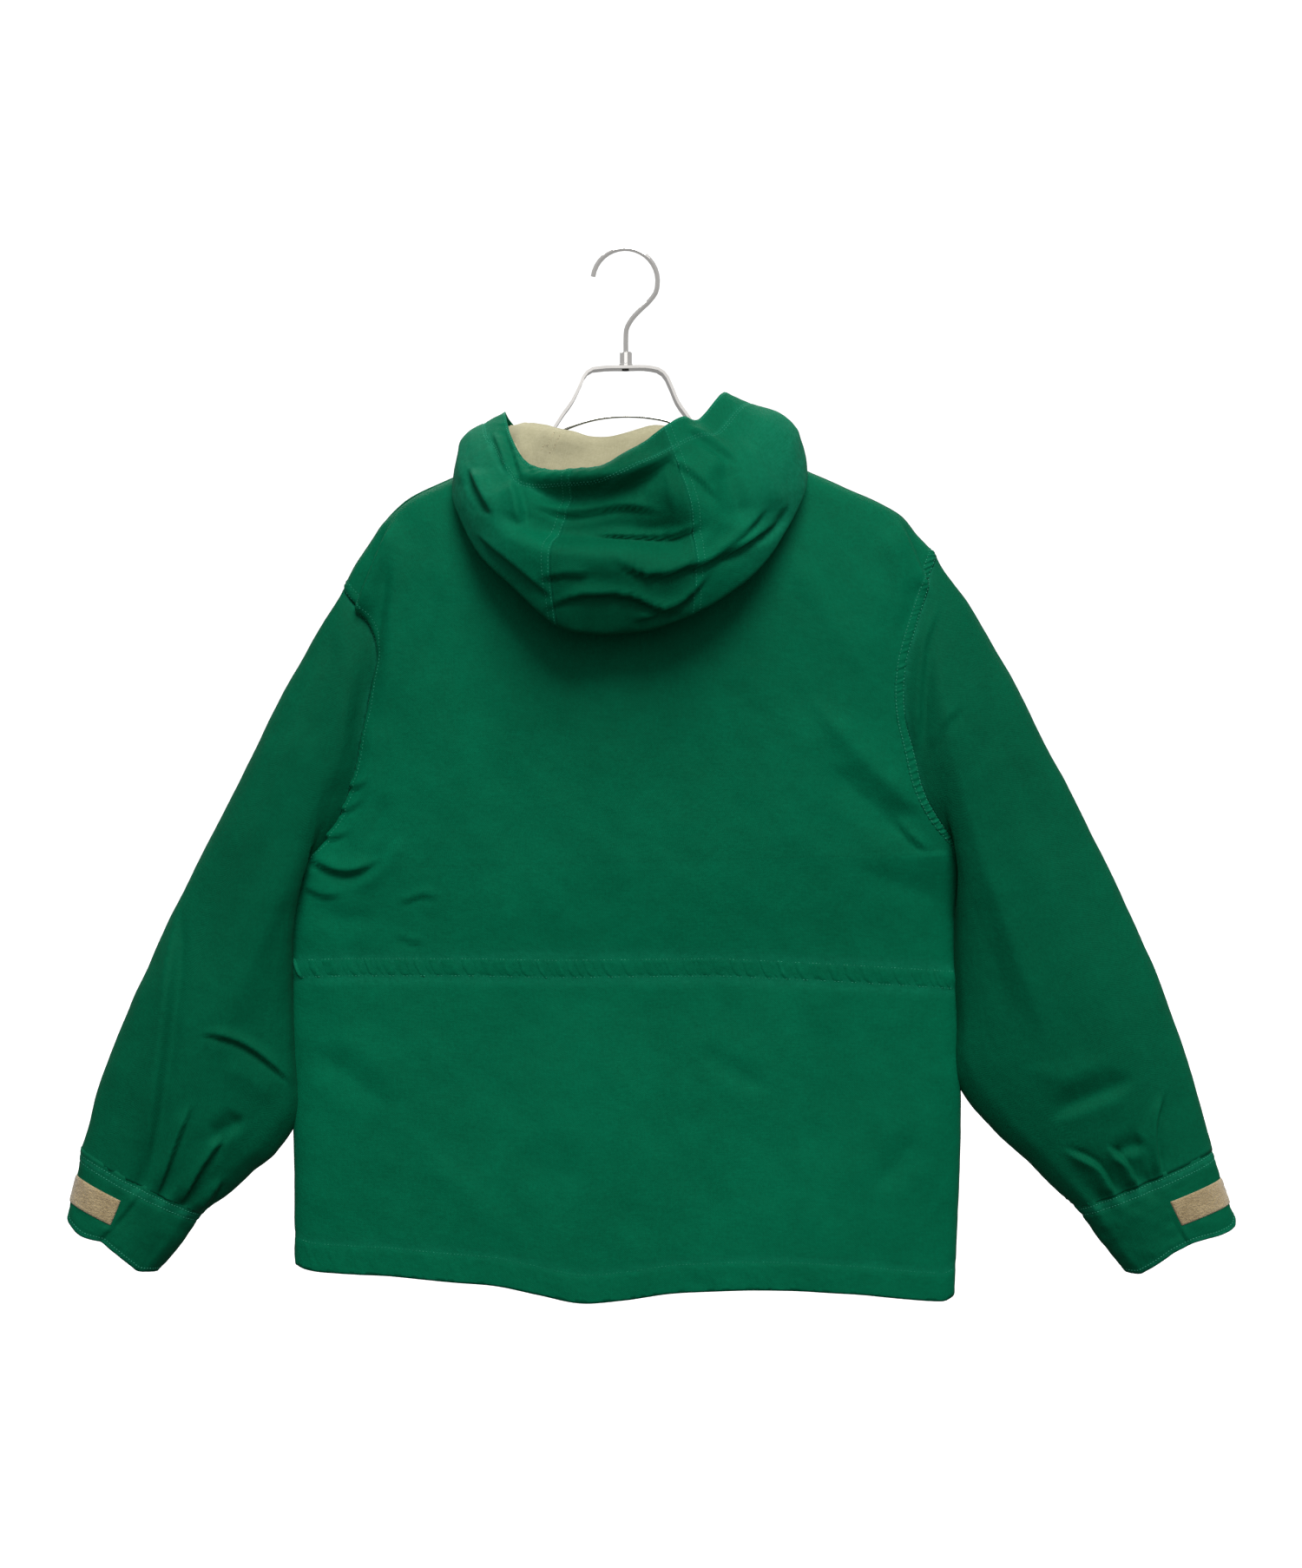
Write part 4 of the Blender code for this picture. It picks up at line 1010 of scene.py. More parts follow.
LEFT_SHOULDER = [
    ("fold", 5.5, 11, [(458, 588), (443, 618), (429, 652), (413, 692), (404, 722)]),
    ("trough", 2.6, 8, [(447, 640), (441, 690), (434, 746)]),
    ("ridge", 2.4, 14, [(474, 604), (454, 680), (448, 760), (438, 840)]),
]
RIGHT_SHOULDER = [
    ("fold", 4.0, 12, [(1076, 690), (1060, 652), (1046, 620), (1030, 588)]),
    ("ridge", 2.4, 12, [(1010, 600), (1036, 660), (1034, 730)]),
]
BACK_CREASES = LEFT_SHOULDER + RIGHT_SHOULDER + [
    ("fold", 3.0, 8, [(350, 982), (375, 1000), (406, 1005), (440, 990)]),
    ("ridge", 1.8, 10, [(402, 1030), (440, 1002), (470, 958)]),
    ("fold", 1.2, 6, [(346, 1020), (372, 1032), (398, 1030)]),
    ("trough", 1.6, 9, [(445, 912), (436, 945), (420, 978)]),
    ("ridge", 2.2, 16, [(428, 820), (424, 880), (408, 935)]),
    ("fold", 1.6, 6, [(360, 957), (384, 966), (404, 955)]),
    ("fold", 1.4, 5, [(386, 930), (402, 934), (418, 920)]),
    ("fold", 1.2, 5, [(398, 903), (412, 908), (426, 896)]),
    ("fold", 1.3, 4, [(458, 1042), (472, 1037), (486, 1032), (508, 1035)]),
    ("fold", 1.0, 4, [(452, 1074), (466, 1083), (490, 1087)]),
    ("trough", 1.4, 14, [(350, 1040), (400, 1060), (440, 1050)]),
    ("ridge", 3.4, 18, [(930, 800), (990, 870), (1040, 918), (1076, 940)]),
    ("trough", 2.6, 20, [(950, 880), (1010, 930), (1060, 968)]),
    ("fold", 1.6, 6, [(1028, 940), (1046, 962), (1072, 984)]),
    ("ridge", 1.6, 18, [(900, 620), (960, 720), (1020, 800)]),
    ("trough", 1.3, 16, [(990, 1000), (1040, 1020), (1090, 1040)]),
    ("trough", 1.5, 16, [(352, 1205), (400, 1238), (452, 1282)]),
    ("ridge", 1.1, 18, [(372, 1180), (430, 1222), (480, 1268)]),
    ("trough", 1.5, 15, [(796, 1200), (840, 1232), (888, 1256)]),
    ("trough", 1.6, 18, [(1060, 1305), (1030, 1345), (1000, 1372)]),
    ("trough", 1.4, 30, [(590, 1330), (640, 1352), (680, 1368)]),
    ("ridge", 1.2, 26, [(470, 1330), (560, 1390), (610, 1440)]),
    ("ridge", 1.3, 30, [(700, 1180), (720, 1300), (730, 1400)]),
    ("trough", 1.2, 30, [(940, 1160), (960, 1260), (950, 1380)]),
    ("trough", 1.0, 34, [(560, 780), (590, 900), (600, 1050)]),
    ("ridge", 1.1, 36, [(700, 780), (720, 900), (715, 1060)]),
    ("trough", 0.9, 30, [(830, 820), (850, 940), (840, 1070)]),
    ("trough", 1.3, 18, [(500, 640), (492, 730), (476, 820)]),
]
HOOD_CREASES = [
    ("fold", 11.0, 14, [(588, 546), (630, 557), (684, 558), (734, 548), (790, 516)]),
    ("hollow", 23.0, 24, [(560, 590), (600, 602), (660, 607), (720, 613), (776, 619), (830, 598)]),
    ("fold", 7.5, 9, [(539, 538), (550, 564), (566, 594)]),
    ("fold", 5.0, 8, [(596, 604), (597, 576), (588, 546)]),
    ("fold", 5.0, 6, [(670, 606), (728, 617), (782, 618), (820, 598)]),
    ("fold", 4.0, 6, [(600, 574), (656, 580), (712, 577), (770, 588)]),
    ("fold", 6.5, 6, [(696, 640), (726, 655), (752, 662), (793, 653), (840, 637), (910, 596)]),
    ("trough", 4.0, 6, [(866, 628), (896, 606), (908, 580)]),
    ("fold", 6.0, 6, [(616, 708), (655, 690), (690, 685), (730, 689), (762, 701), (790, 691), (828, 650)]),
    ("fold", 4.0, 5, [(724, 717), (756, 709), (796, 704)]),
    ("fold", 3.0, 5, [(620, 668), (650, 662), (684, 664)]),
    ("fold", 4.0, 6, [(788, 490), (816, 508), (852, 536)]),
    ("ridge", 5.0, 14, [(846, 500), (880, 548), (910, 600)]),
    ("hollow", 6.0, 12, [(862, 610), (852, 574), (832, 524)]),
    ("fold", 3.0, 6, [(764, 526), (800, 548), (836, 584)]),
    ("fold", 4.0, 4, [(580, 490), (590, 516), (602, 556)]),
    ("fold", 3.0, 4, [(566, 496), (576, 522), (584, 548)]),
    ("fold", 2.6, 4, [(592, 506), (606, 524), (616, 548)]),
    ("fold", 4.0, 8, [(546, 614), (590, 650), (640, 692)]),
    ("ridge", 2.4, 10, [(690, 528), (730, 510), (765, 494)]),
    ("fold", 3.4, 6, [(812, 646), (850, 620), (888, 582)]),
]
LINING_CREASES = [  # the far side, so a ridge towards the camera is inwards
    ("fold", -2.4, 8, [(690, 512), (664, 502), (640, 496), (612, 500)]),
    ("ridge", -2.0, 12, [(640, 500), (632, 515), (616, 535)]),
    ("trough", -2.4, 10, [(600, 520), (650, 526), (700, 516), (740, 498)]),
    ("ridge", -1.8, 9, [(600, 490), (598, 510), (612, 534)]),
    ("fold", -1.3, 3, [(645, 488), (637, 507), (622, 530)]),
]
LINING_SEAM = [[(641, 490), (633, 507), (619, 526)], [(649, 494), (640, 511), (627, 531)]]
SLEEVE_CREASES = {
    "left": LEFT_SHOULDER + [
        ("fold", 5.5, 12, [(168, 1362), (180, 1280), (192, 1190), (201, 1110), (207, 1030)]),
        ("ridge", 3.0, 22, [(180, 1100), (150, 1200), (128, 1290)]),
        ("ridge", 7.0, 34, [(404, 730), (386, 850), (352, 950), (306, 1070), (262, 1180), (236, 1260)]),
        ("trough", 2.2, 22, [(262, 930), (240, 1040), (222, 1150)]),
        ("fold", 4.0, 5, [(222, 1192), (248, 1193), (275, 1201), (302, 1218), (340, 1252)]),
        ("ridge", 2.0, 16, [(250, 1226), (290, 1244), (318, 1276)]),
        ("fold", 4.6, 5, [(180, 1384), (192, 1350), (206, 1312), (224, 1266)]),
        ("fold", 5.2, 5, [(203, 1398), (222, 1364), (242, 1332), (266, 1300)]),
        ("hollow", 4.6, 8, [(240, 1318), (258, 1306), (284, 1286)]),
        ("fold", 3.0, 5, [(226, 1402), (244, 1380), (258, 1356)]),
        ("ridge", 1.6, 7, [(200, 1378), (216, 1344), (236, 1312)]),
        ("trough", 2.4, 10, [(424, 740), (416, 800), (402, 870)]),
        ("ridge", 2.2, 12, [(402, 790), (392, 860), (374, 920)]),
        ("trough", 2.4, 14, [(388, 720), (372, 800), (346, 880)]),
        ("ridge", 2.0, 20, [(350, 820), (310, 920), (272, 1020)]),
        ("trough", 1.8, 16, [(336, 1020), (318, 1080), (300, 1150)]),
    ],
    "right": RIGHT_SHOULDER + [
        ("hollow", 5.0, 10, [(1206, 1292), (1232, 1276), (1266, 1262), (1312, 1242)]),
        ("ridge", 2.2, 18, [(1180, 1230), (1230, 1240), (1280, 1216)]),
        ("fold", 4.8, 5, [(1340, 1364), (1333, 1320), (1334, 1288), (1344, 1254)]),
        ("fold", 5.0, 5, [(1316, 1376), (1302, 1346), (1290, 1332), (1272, 1318)]),
        ("hollow", 4.6, 7, [(1278, 1332), (1298, 1325), (1324, 1317)]),
        ("fold", 5.0, 5, [(1292, 1390), (1272, 1352), (1256, 1337), (1222, 1322)]),
        ("ridge", 1.6, 8, [(1326, 1364), (1316, 1330), (1312, 1296)]),
        ("fold", 4.0, 8, [(1058, 884), (1062, 800), (1068, 740), (1086, 690)]),
        ("ridge", 8.0, 26, [(1072, 680), (1082, 790), (1106, 900), (1142, 1020), (1186, 1140), (1216, 1230)]),
        ("trough", 4.0, 30, [(1112, 670), (1142, 790), (1182, 910), (1230, 1030)]),
        ("fold", 1.8, 6, [(1074, 868), (1086, 838), (1112, 812)]),
        ("ridge", 2.6, 22, [(1200, 860), (1260, 990), (1316, 1110), (1350, 1220)]),
        ("trough", 2.0, 20, [(1128, 1000), (1146, 1090), (1160, 1180)]),
    ],
}
FRONT_CREASES = [  # hidden, so only the long soft ones that such a front has
    ("trough", 1.6, 24, [(480, 760), (500, 900), (490, 1040)]),
    ("ridge", 1.8, 24, [(990, 740), (1000, 880), (985, 1030)]),
    ("fold", 2.0, 10, [(360, 990), (390, 1002), (440, 996)]),
    ("fold", 2.0, 10, [(1090, 1000), (1050, 1012), (1005, 1004)]),
    ("trough", 1.6, 20, [(380, 1230), (430, 1290), (500, 1330)]),
    ("trough", 1.6, 20, [(1060, 1220), (1010, 1290), (940, 1340)]),
    ("ridge", 1.4, 26, [(620, 1160), (610, 1280), (625, 1420)]),
    ("ridge", 1.4, 26, [(880, 1160), (895, 1280), (880, 1420)]),
]

# The waist channel's two stitched edges, across the back.
CHANNEL_TOP = [(331, 1106), (361, 1104), (511, 1104), (597, 1101), (760, 1101), (812, 1101),
               (955, 1107), (1073, 1114), (1104, 1117)]
CHANNEL_FOOT = [(331, 1128), (396, 1126), (543, 1126), (639, 1128), (828, 1126), (955, 1132),
                (1073, 1139), (1104, 1141)]
HEM_DEPTH = 27.0
CHANNEL_WIDTH = 18.5
FELL_WIDTH = 11.0  # of the flat-felled armhole seam
EDGE_ROLL = 1.2  # how far a panel's edge rolls in at the armhole
BRIM_DEPTH = 21.0
SEAM_ROWS = (1.6, 8.0)  # stitch rows of the hood's seams


def above_path(u, v, path):
    """How many millimetres a point lies above a path that runs across the picture."""
    return (np.interp(u, *np.array(path, float).T) - v) * PIXEL


# ---- the body ---------------------------------------------------------------------------------

BACK = body_grid("back")
FRONTS = {half: body_grid("front", half) for half in ("left", "right")}
SLEEVES = {side: sleeve_grid(side) for side in ("left", "right")}
CUFFS = {side: cuff_grid(side) for side in ("left", "right")}
BODY_ROWS = even(BACK, STEP, 0)
CALM_REACH = 34.0  # how far along the cloth a coarse row is smoothed
FRONT_STEP = 5.4  # between points across a front, which is plainer than the back
PLACKET_ROWS = (3.0, 12.0)  # stitch rows beside the zip, from a front's edge


def calm(grid):
    """The body's grid with the steps between its coarse rows smoothed out, away from its edges."""
    height = running(np.linalg.norm(np.diff(grid, axis=0), axis=2).mean(axis=1))
    weights = hill(height[:, None] - height[None], CALM_REACH)
    smooth = weights @ grid[..., 1] / weights.sum(axis=1, keepdims=True)
    side = np.minimum(distance_along(grid, 1), distance_along(grid, 1, True))
    end = np.minimum(distance_along(grid, 0), distance_along(grid, 0, True))
    share = np.clip(side / 30, 0, 1) * np.clip(end / 45, 0, 1)
    grid = grid.copy()
    grid[..., 1] += (smooth - grid[..., 1]) * share
    return grid


def dress_body(name, node, coarse, flip, table, face, seed, held_edges, plackets=()):
    """One panel of the body with its creases, its hem, waist channel and felled armhole seams."""
    columns = even(coarse, STEP if node == "back_panel" else FRONT_STEP, 1)
    grid = calm(sample(sample(coarse, BODY_ROWS, 0), columns, 1))
    normals = outward(grid, flip)
    u, v = seen(grid)
    x, z = grid[..., 0], grid[..., 2]
    out = 1.4 * creased(grid, normals, table, face) * (1 - hill(distance_along(grid, 0, True), 14))
    out += ripple(x, z, 150, seed) + 0.45 * ripple(x, z, 48, seed + 1) + 0.12 * ripple(x, z, 16, seed + 2)
    above_foot, above_top = above_path(u, v, CHANNEL_FOOT), above_path(u, v, CHANNEL_TOP)
    wear_and_painted_light = 0.22 * hill(above_foot, 6) + 0.22 * hill(above_top, 6)
    out += 0.4 * puckers(x, above_foot, 21, 22, seed + 3) + 0.3 * puckers(x, above_top, 17, 20, seed + 4)
    out -= 0.6 * hill(above_foot, 4) + 0.3 * hill(above_top, 4)
    above_seam = distance_along(grid, 0) - HEM_DEPTH
    out += 0.4 * puckers(x, above_seam, 17, 16, seed + 6) + 0.5 * groove(above_seam, 3.0)
    wear_and_painted_light += 0.15 * hill(above_seam, 5)
    rise = np.interp(BODY_ROWS, np.arange(coarse.shape[0]), np.arange(coarse.shape[0]) - len(ROWS))
    at_armhole = np.clip(rise, 0, 1)[:, None]
    for from_end in held_edges:
        away = distance_along(grid, 1, from_end)
        out -= at_armhole * EDGE_ROLL * np.exp(-away / 1.6)
        wear_and_painted_light += 0.3 * np.exp(-away / 2)
    for from_end in plackets:
        wear_and_painted_light += 0.4 * np.exp(-distance_along(grid, 1, from_end) / 2)
    grid = grid + normals * out[..., None]
    normals = outward(grid, flip)
    piece = shell(name, grid, flip, POPLIN, wear_and_painted_light=np.clip(wear_and_painted_light, 0, 1))

    channel = above_path(*seen(grid), CHANNEL_FOOT)
    strips = [
        band(name + "_channel", channel, CHANNEL_WIDTH, grid, normals, 0, 0.4,
             ((31, 0.6), (17, 0.5), (9, 0.2)), (1.6, CHANNEL_WIDTH - 1.6), seed + 8),
        band(name + "_hem", distance_along(grid, 0), HEM_DEPTH, grid, normals, 0, 0.3,
             ((44, 0.25), (23, 0.2)), (HEM_DEPTH - 1.6,), seed + 9, 2.0),
    ]
    low = int(np.argmax(rise >= 0.4))
    for from_end, relief in held_edges.items():
        away = distance_along(grid, 1, from_end)[low:]
        gathers = ((13, 0.75 * relief), (8, 0.55 * relief))
        seam = f"{name}_felled_seam_{int(from_end)}"
        strips.append(band(seam, away, FELL_WIDTH, grid[low:], normals[low:], 1, relief, gathers,
                           (1.8, FELL_WIDTH - 1.8), seed + 10 + from_end, 1.1))
    trims = [strip for strip, _ in strips]
    rows = [line for _, lines in strips for line in lines]
    for from_end in plackets:
        for inset in PLACKET_ROWS:
            rows.append(line_at(distance_along(grid, 1, from_end), inset, grid, normals, 1))
    trims.append(stitches(name + "_stitches", rows, THREAD_GREEN))
    declare(piece, node, trims)


def declare(piece, node, with_pieces=()):
    """Attaches a cloth piece to the parka and hides the packed part that it stands for."""
    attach(piece, "parka")
    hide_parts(node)


dress_body("back", "back_panel", BACK, False, BACK_CREASES, -1.0, 11, {False: 0.5, True: 1.1})
dress_body("left_front", "front_left", FRONTS["left"], True, FRONT_CREASES, 1.0, 31, {False: 0.8}, (True,))
dress_body("right_front", "front_right", FRONTS["right"], True, FRONT_CREASES, 1.0, 51, {True: 0.8}, (False,))

# ---- sleeves and cuffs ------------------------------------------------------------------------

TUCK = 5.0  # how far a sleeve runs in under the armhole seam
SLEEVE_LEAN = 8.0  # how far a sleeve leans on the body's side
SLEEVE_DIVE = {"left": 1.0, "right": 0.8}  # and how deep under the back
CUFF_ROWS = (2.2, 8.5)  # stitch rows, from the cuff's seam
CUFF_EDGE_ROW = 4.0  # and one from its edge
TAB_FOLD = {  # where the cuff's tab ends
    "left": [("fold", 1.6, 5, [(104, 1440), (128, 1414), (148, 1392), (170, 1362)])],
    "right": [("fold", 1.6, 5, [(1346, 1372), (1356, 1404), (1372, 1440)])],
}
# A cuff's edge dips below its straight line, by share round the ring from the outer edge.
CUFF_EDGE = {  # share, mm
    "left": [(0, -6), (0.05, 3), (0.12, 6), (0.17, 3), (0.2, -1), (0.3, 1), (0.42, 4), (0.5, -3),
             (0.75, 0), (1, -6)],
    "right": [(0, -4), (0.06, 4), (0.13, 2), (0.2, -3), (0.28, -3), (0.4, 2), (0.46, 3), (0.5, -3),
              (0.75, 0), (1, -4)],
}


def ring_grid(coarse, step):
    """The finer grid of a closed tube, and its places on the coarse one."""
    rows_at, columns_at = even(coarse, step, 0), even(coarse, step, 1)
    return sample(sample(coarse, rows_at, 0), columns_at, 1, closed=True), rows_at, columns_at


def tucked(grid, normals, step, length, depth):
    """One row more before a tube's first, which runs in under the seam."""
    return grid[:1] - normals[:1] * depth - (grid[1:2] - grid[:1]) / step * length


def dress_sleeve(side, flip, seed):
    """A sleeve with its creases, its folds over the body's side and the gathers at both of its seams."""
    grid, _, _ = ring_grid(SLEEVES[side], SLEEVE_STEP)
    sign = -1 if side == "left" else 1
    edge = side_line(side)
    past = sign * (grid[..., 0] - np.interp(grid[..., 2], edge[:, 1], edge[:, 0]))
    from_seam = distance_along(grid, 0)
    grid[..., 0] -= sign * SLEEVE_LEAN * hill(past, 26) * np.clip(from_seam / 40, 0, 1)
    normals = outward(grid, flip, closed=True)
    from_cuff = distance_along(grid, 0, True)
    round_ring = distance_along(grid, 1)
    out = creased(grid, normals, SLEEVE_CREASES[side], -1.0)
    out += 0.7 * creased(grid, normals, SLEEVE_CREASES[side], 1.0)
    free = np.clip(from_seam / 25, 0, 1)
    behind = np.clip(-2.2 * normals[..., 1], 0, 1)
    out -= behind * SLEEVE_DIVE[side] * hill(from_seam, 9)
    x, z = grid[..., 0], grid[..., 2]
    out += free * (0.8 * ripple(x, z, 120, seed) + 0.3 * ripple(x, z, 40, seed + 1))
    out += 0.1 * ripple(round_ring, from_seam, 13, seed + 2)
    out += 0.3 * puckers(round_ring, from_seam, 6.2, 5, seed + 3)
    out += 0.55 * puckers(round_ring, from_cuff, 13, 16, seed + 4) * np.clip(from_cuff / 3, 0, 1)
    out *= 1 - 0.9 * hill(from_cuff, 5)
    wear_and_painted_light = 0.3 * np.exp(-from_seam / 2.5) + 0.2 * np.exp(-from_cuff / 2.5)
    grid = grid + normals * out[..., None]
    grid = np.concatenate([tucked(grid, normals, SLEEVE_STEP, TUCK, 1.6), grid])
    wear_and_painted_light = np.concatenate([wear_and_painted_light[:1], wear_and_painted_light])
    # The sleeve gets the darker poplin, as painted shade.
    return shell(f"{side}_sleeve", grid, flip, SHADED_POPLIN, closed=True, wear_and_painted_light=wear_and_painted_light)


def dress_cuff(side, flip, seed):
    """A cuff with its uneven edge and its stitch rows, flat under the loop tape."""
    coarse = CUFFS[side].copy()
    count = coarse.shape[1]
    way = coarse[-1].mean(axis=0) - coarse[0].mean(axis=0)
    way /= np.linalg.norm(way)
    dip = np.interp(np.linspace(0, 1, count), *np.array(CUFF_EDGE[side], float).T)
    coarse[-1] += dip[:, None] * way
    grid, rows_at, columns_at = ring_grid(coarse, FINE_STEP)
    normals = outward(grid, flip, closed=True)
    from_seam, from_edge = distance_along(grid, 0), distance_along(grid, 0, True)
    round_ring = distance_along(grid, 1)
    out = 0.7 * ripple(round_ring, from_seam, 46, seed) + 0.3 * ripple(round_ring, from_seam, 18, seed + 1)
    out += creased(grid, normals, TAB_FOLD[side])
    out += 0.45 * puckers(round_ring, from_seam - 5, 12, 9, seed + 2)
    for level in CUFF_ROWS:
        out += 0.5 * groove(from_seam - level, 1.0)
    above_row = from_edge - CUFF_EDGE_ROW
    out += 0.5 * groove(above_row, 1.1) + 0.3 * puckers(round_ring, above_row, 14, 8, seed + 3)
    first, last = LOOP_TAPE_STATIONS
    before, behind = (first - columns_at) % (count - 1), (columns_at - last) % (count - 1)
    beside = np.where((columns_at - first) % (count - 1) <= last - first, 0, np.minimum(before, behind))
    beyond = np.clip(np.abs(rows_at - 1.5) - 0.5, 0, None)
    out *= 1 - hill(beyond[:, None], 1 / 6) * hill(beside[None], 1 / 3)
    wear_and_painted_light = 0.5 * np.exp(-from_edge / 1.6) + 0.3 * hill(from_seam - 5, 4)
    grid = grid + normals * out[..., None]
    normals = outward(grid, flip, closed=True)
    under = tucked(grid, normals, FINE_STEP, 3.0, 1.1)
    # The cuff gets the darker poplin, as painted shade.
    piece = shell(f"{side}_cuff", np.concatenate([under, grid]), flip, SHADED_POPLIN, closed=True,
                  wear_and_painted_light=np.concatenate([wear_and_painted_light[:1], wear_and_painted_light]))
    rows = [line_at(distance_along(grid, 0), level, grid, normals, 0) for level in CUFF_ROWS]
    rows.append(line_at(distance_along(grid, 0, True), CUFF_EDGE_ROW, grid, normals, 0))
    return piece, rows


TAPE_GRID = (44, 120)  # points of a loop tape, along the cuff and round it


def dress_loop_tape(side, flip, seed):
    """The tape's pile stands on the cuff between its second and third section."""
    coarse = CUFFS[side]
    columns = np.mod(np.linspace(*LOOP_TAPE_STATIONS, TAPE_GRID[1]), coarse.shape[1] - 1)
    points = sample(sample(coarse, np.linspace(1.0, 2.0, TAPE_GRID[0]), 0), columns, 1, closed=True)
    fine = np.random.default_rng(seed).uniform(-1, 1, TAPE_GRID)
    from_edge = [np.minimum(np.arange(count), np.arange(count)[::-1]) for count in TAPE_GRID]
    rounded_edge = 1 - np.exp(-np.minimum(from_edge[0][:, None] * 0.6, from_edge[1][None] * 0.8) / 0.9)
    height = 0.1 + 1.1 * rounded_edge + 0.3 * fine * rounded_edge
    points = points + outward(points, flip) * height[..., None]
    return shell(f"{side}_loop_tape", points, flip, LOOP_PILE, thick=0.8)


for side, flip in (("left", True), ("right", False)):
    declare(dress_sleeve(side, flip, 51 + 20 * flip), f"sleeve_{side}")
    piece, rows = dress_cuff(side, flip, 61 + 20 * flip)
    tape = dress_loop_tape(side, flip, 71 + flip)
    sewing = stitches(f"cuff_{side}_stitches", rows, THREAD_GREEN, pitch=2.8)
    declare(piece, f"cuff_{side}", [sewing])
    declare(tape, f"loop_tape_{side}")

# ---- the hood ---------------------------------------------------------------------------------

HOOD_COARSE = hood_grid(BACK, FRONTS)
HOOD_ROWS = even(HOOD_COARSE, FINE_STEP, 0)
FOLD_ROW = sum(HOOD_SPANS[:3])  # of the coarse grid, where the hood hangs lowest
HOOD_SEAMS = tuple(zip(HOOD_PANELS["hood_centre"], (-1, 1)))  # each seam's place, and the side it is sewn to
HOOD_MIDDLE = 722  # the hood's middle, in pixels across the picture
LINING_IN = 1.3  # from the hood's outer face to the lining
LINING_SINKS = 205  # half the width in pixels, at the hood's middle, where the lining lies deeper


def across_seam(grid, column, sign):
    """How far each point of the hood lies from a seam, on the side that it is sewn to."""
    run = distance_along(grid, 1)
    return (run - run[:, column : column + 1]) * sign


def dress_hood():
    """The hood's three panels, with its creases, its hem and its seams. Gives their grid and its normals."""
    places = [even(HOOD_COARSE, FINE_STEP, 1, first, last) for first, last in HOOD_PANELS.values()]
    columns = np.concatenate([places[0], places[1][1:], places[2][1:]])
    grid = sample(sample(HOOD_COARSE, HOOD_ROWS, 0), columns, 1)
    normals = outward(grid, False)
    from_rim, along_rim = distance_along(grid, 0, True), distance_along(grid, 1)
    above_brim = from_rim - BRIM_DEPTH
    u, v = seen(grid)
    out = creased(grid, normals, HOOD_CREASES) * np.clip(from_rim / 6, 0, 1)
    out += 1.1 * ripple(u, v, 110, 91) + 0.45 * ripple(u, v, 36, 92) + 0.12 * ripple(u, v, 14, 93)
    gathers = 0.8 * puckers(along_rim, from_rim, 24, 16, 94) + 0.35 * puckers(along_rim, from_rim, 10, 12, 95)
    out += (hill(u - 640, 55) + 0.35) * gathers
    out += 0.6 * groove(above_brim, 1.3) + 0.3 * puckers(along_rim, above_brim, 13, 8, 96)
    wear_and_painted_light = 0.5 * np.exp(-from_rim / 1.8) + 0.25 * hill(above_brim, 2.2)
    # Paler towards the hood's sides, away from its middle: painted light on the sides that face the lamp.
    wear_and_painted_light += 0.4 * np.clip((np.abs(u - HOOD_MIDDLE) - 110) / 90, 0, 1)
    at_columns = []
    for place, sign in HOOD_SEAMS:
        at_columns.append(int(np.argmin(np.abs(columns - place))))
        away = across_seam(grid, at_columns[-1], sign)
        out += 0.28 / (1 + np.exp((np.abs(away - 4.5) - 4.5) / 0.5))
        out += 0.35 * puckers(distance_along(grid, 0), away - 4, 9, 7, 97 + place)
        for level in SEAM_ROWS:
            out += 0.3 * groove(away - level, 0.8)
        wear_and_painted_light += 0.12 * hill(away, 1.6)
    outer = np.clip((HOOD_ROWS - FOLD_ROW + 0.8) / 1.2, 0, 1)[:, None]
    grid = grid + normals * (out * outer)[..., None]
    normals = outward(grid, False)

    rows = []
    low = int(np.argmax(HOOD_ROWS > FOLD_ROW - 1))
    for column, (_, sign) in zip(at_columns, HOOD_SEAMS):
        near = slice(max(0, column - 12), column + 13)
        away = across_seam(grid, column, sign)[low:, near]
        for level in SEAM_ROWS:
            rows.append(line_at(away, level, grid[low:, near], normals[low:, near], 1))
    from_rim = distance_along(grid, 0, True)
    for level in (2.0, BRIM_DEPTH, BRIM_DEPTH + 2.4):
        rows.append(line_at(from_rim[::-1], level, grid[::-1], normals[::-1], 0))
    sewing = stitches("hood_stitches", rows, THREAD_GREEN, thread=0.27)
    for name, ends in HOOD_PANELS.items():
        first, last = [int(np.argmin(np.abs(columns - end))) for end in ends]
        centre = name == "hood_centre"
        # The share of fading here holds real rubbing and the painted light on the hood's sides.
        worn = np.clip(wear_and_painted_light * outer, 0, 1)[:, first : last + 1]
        # The hood's middle panel gets the darker poplin, as painted shade under the rim.
        piece = shell(name.replace("hood_", "hood_panel_"), grid[:, first : last + 1], False,
                      SHADED_POPLIN if centre else POPLIN, wear_and_painted_light=worn)
        declare(piece, name, [sewing] if centre else [])
    return grid, normals


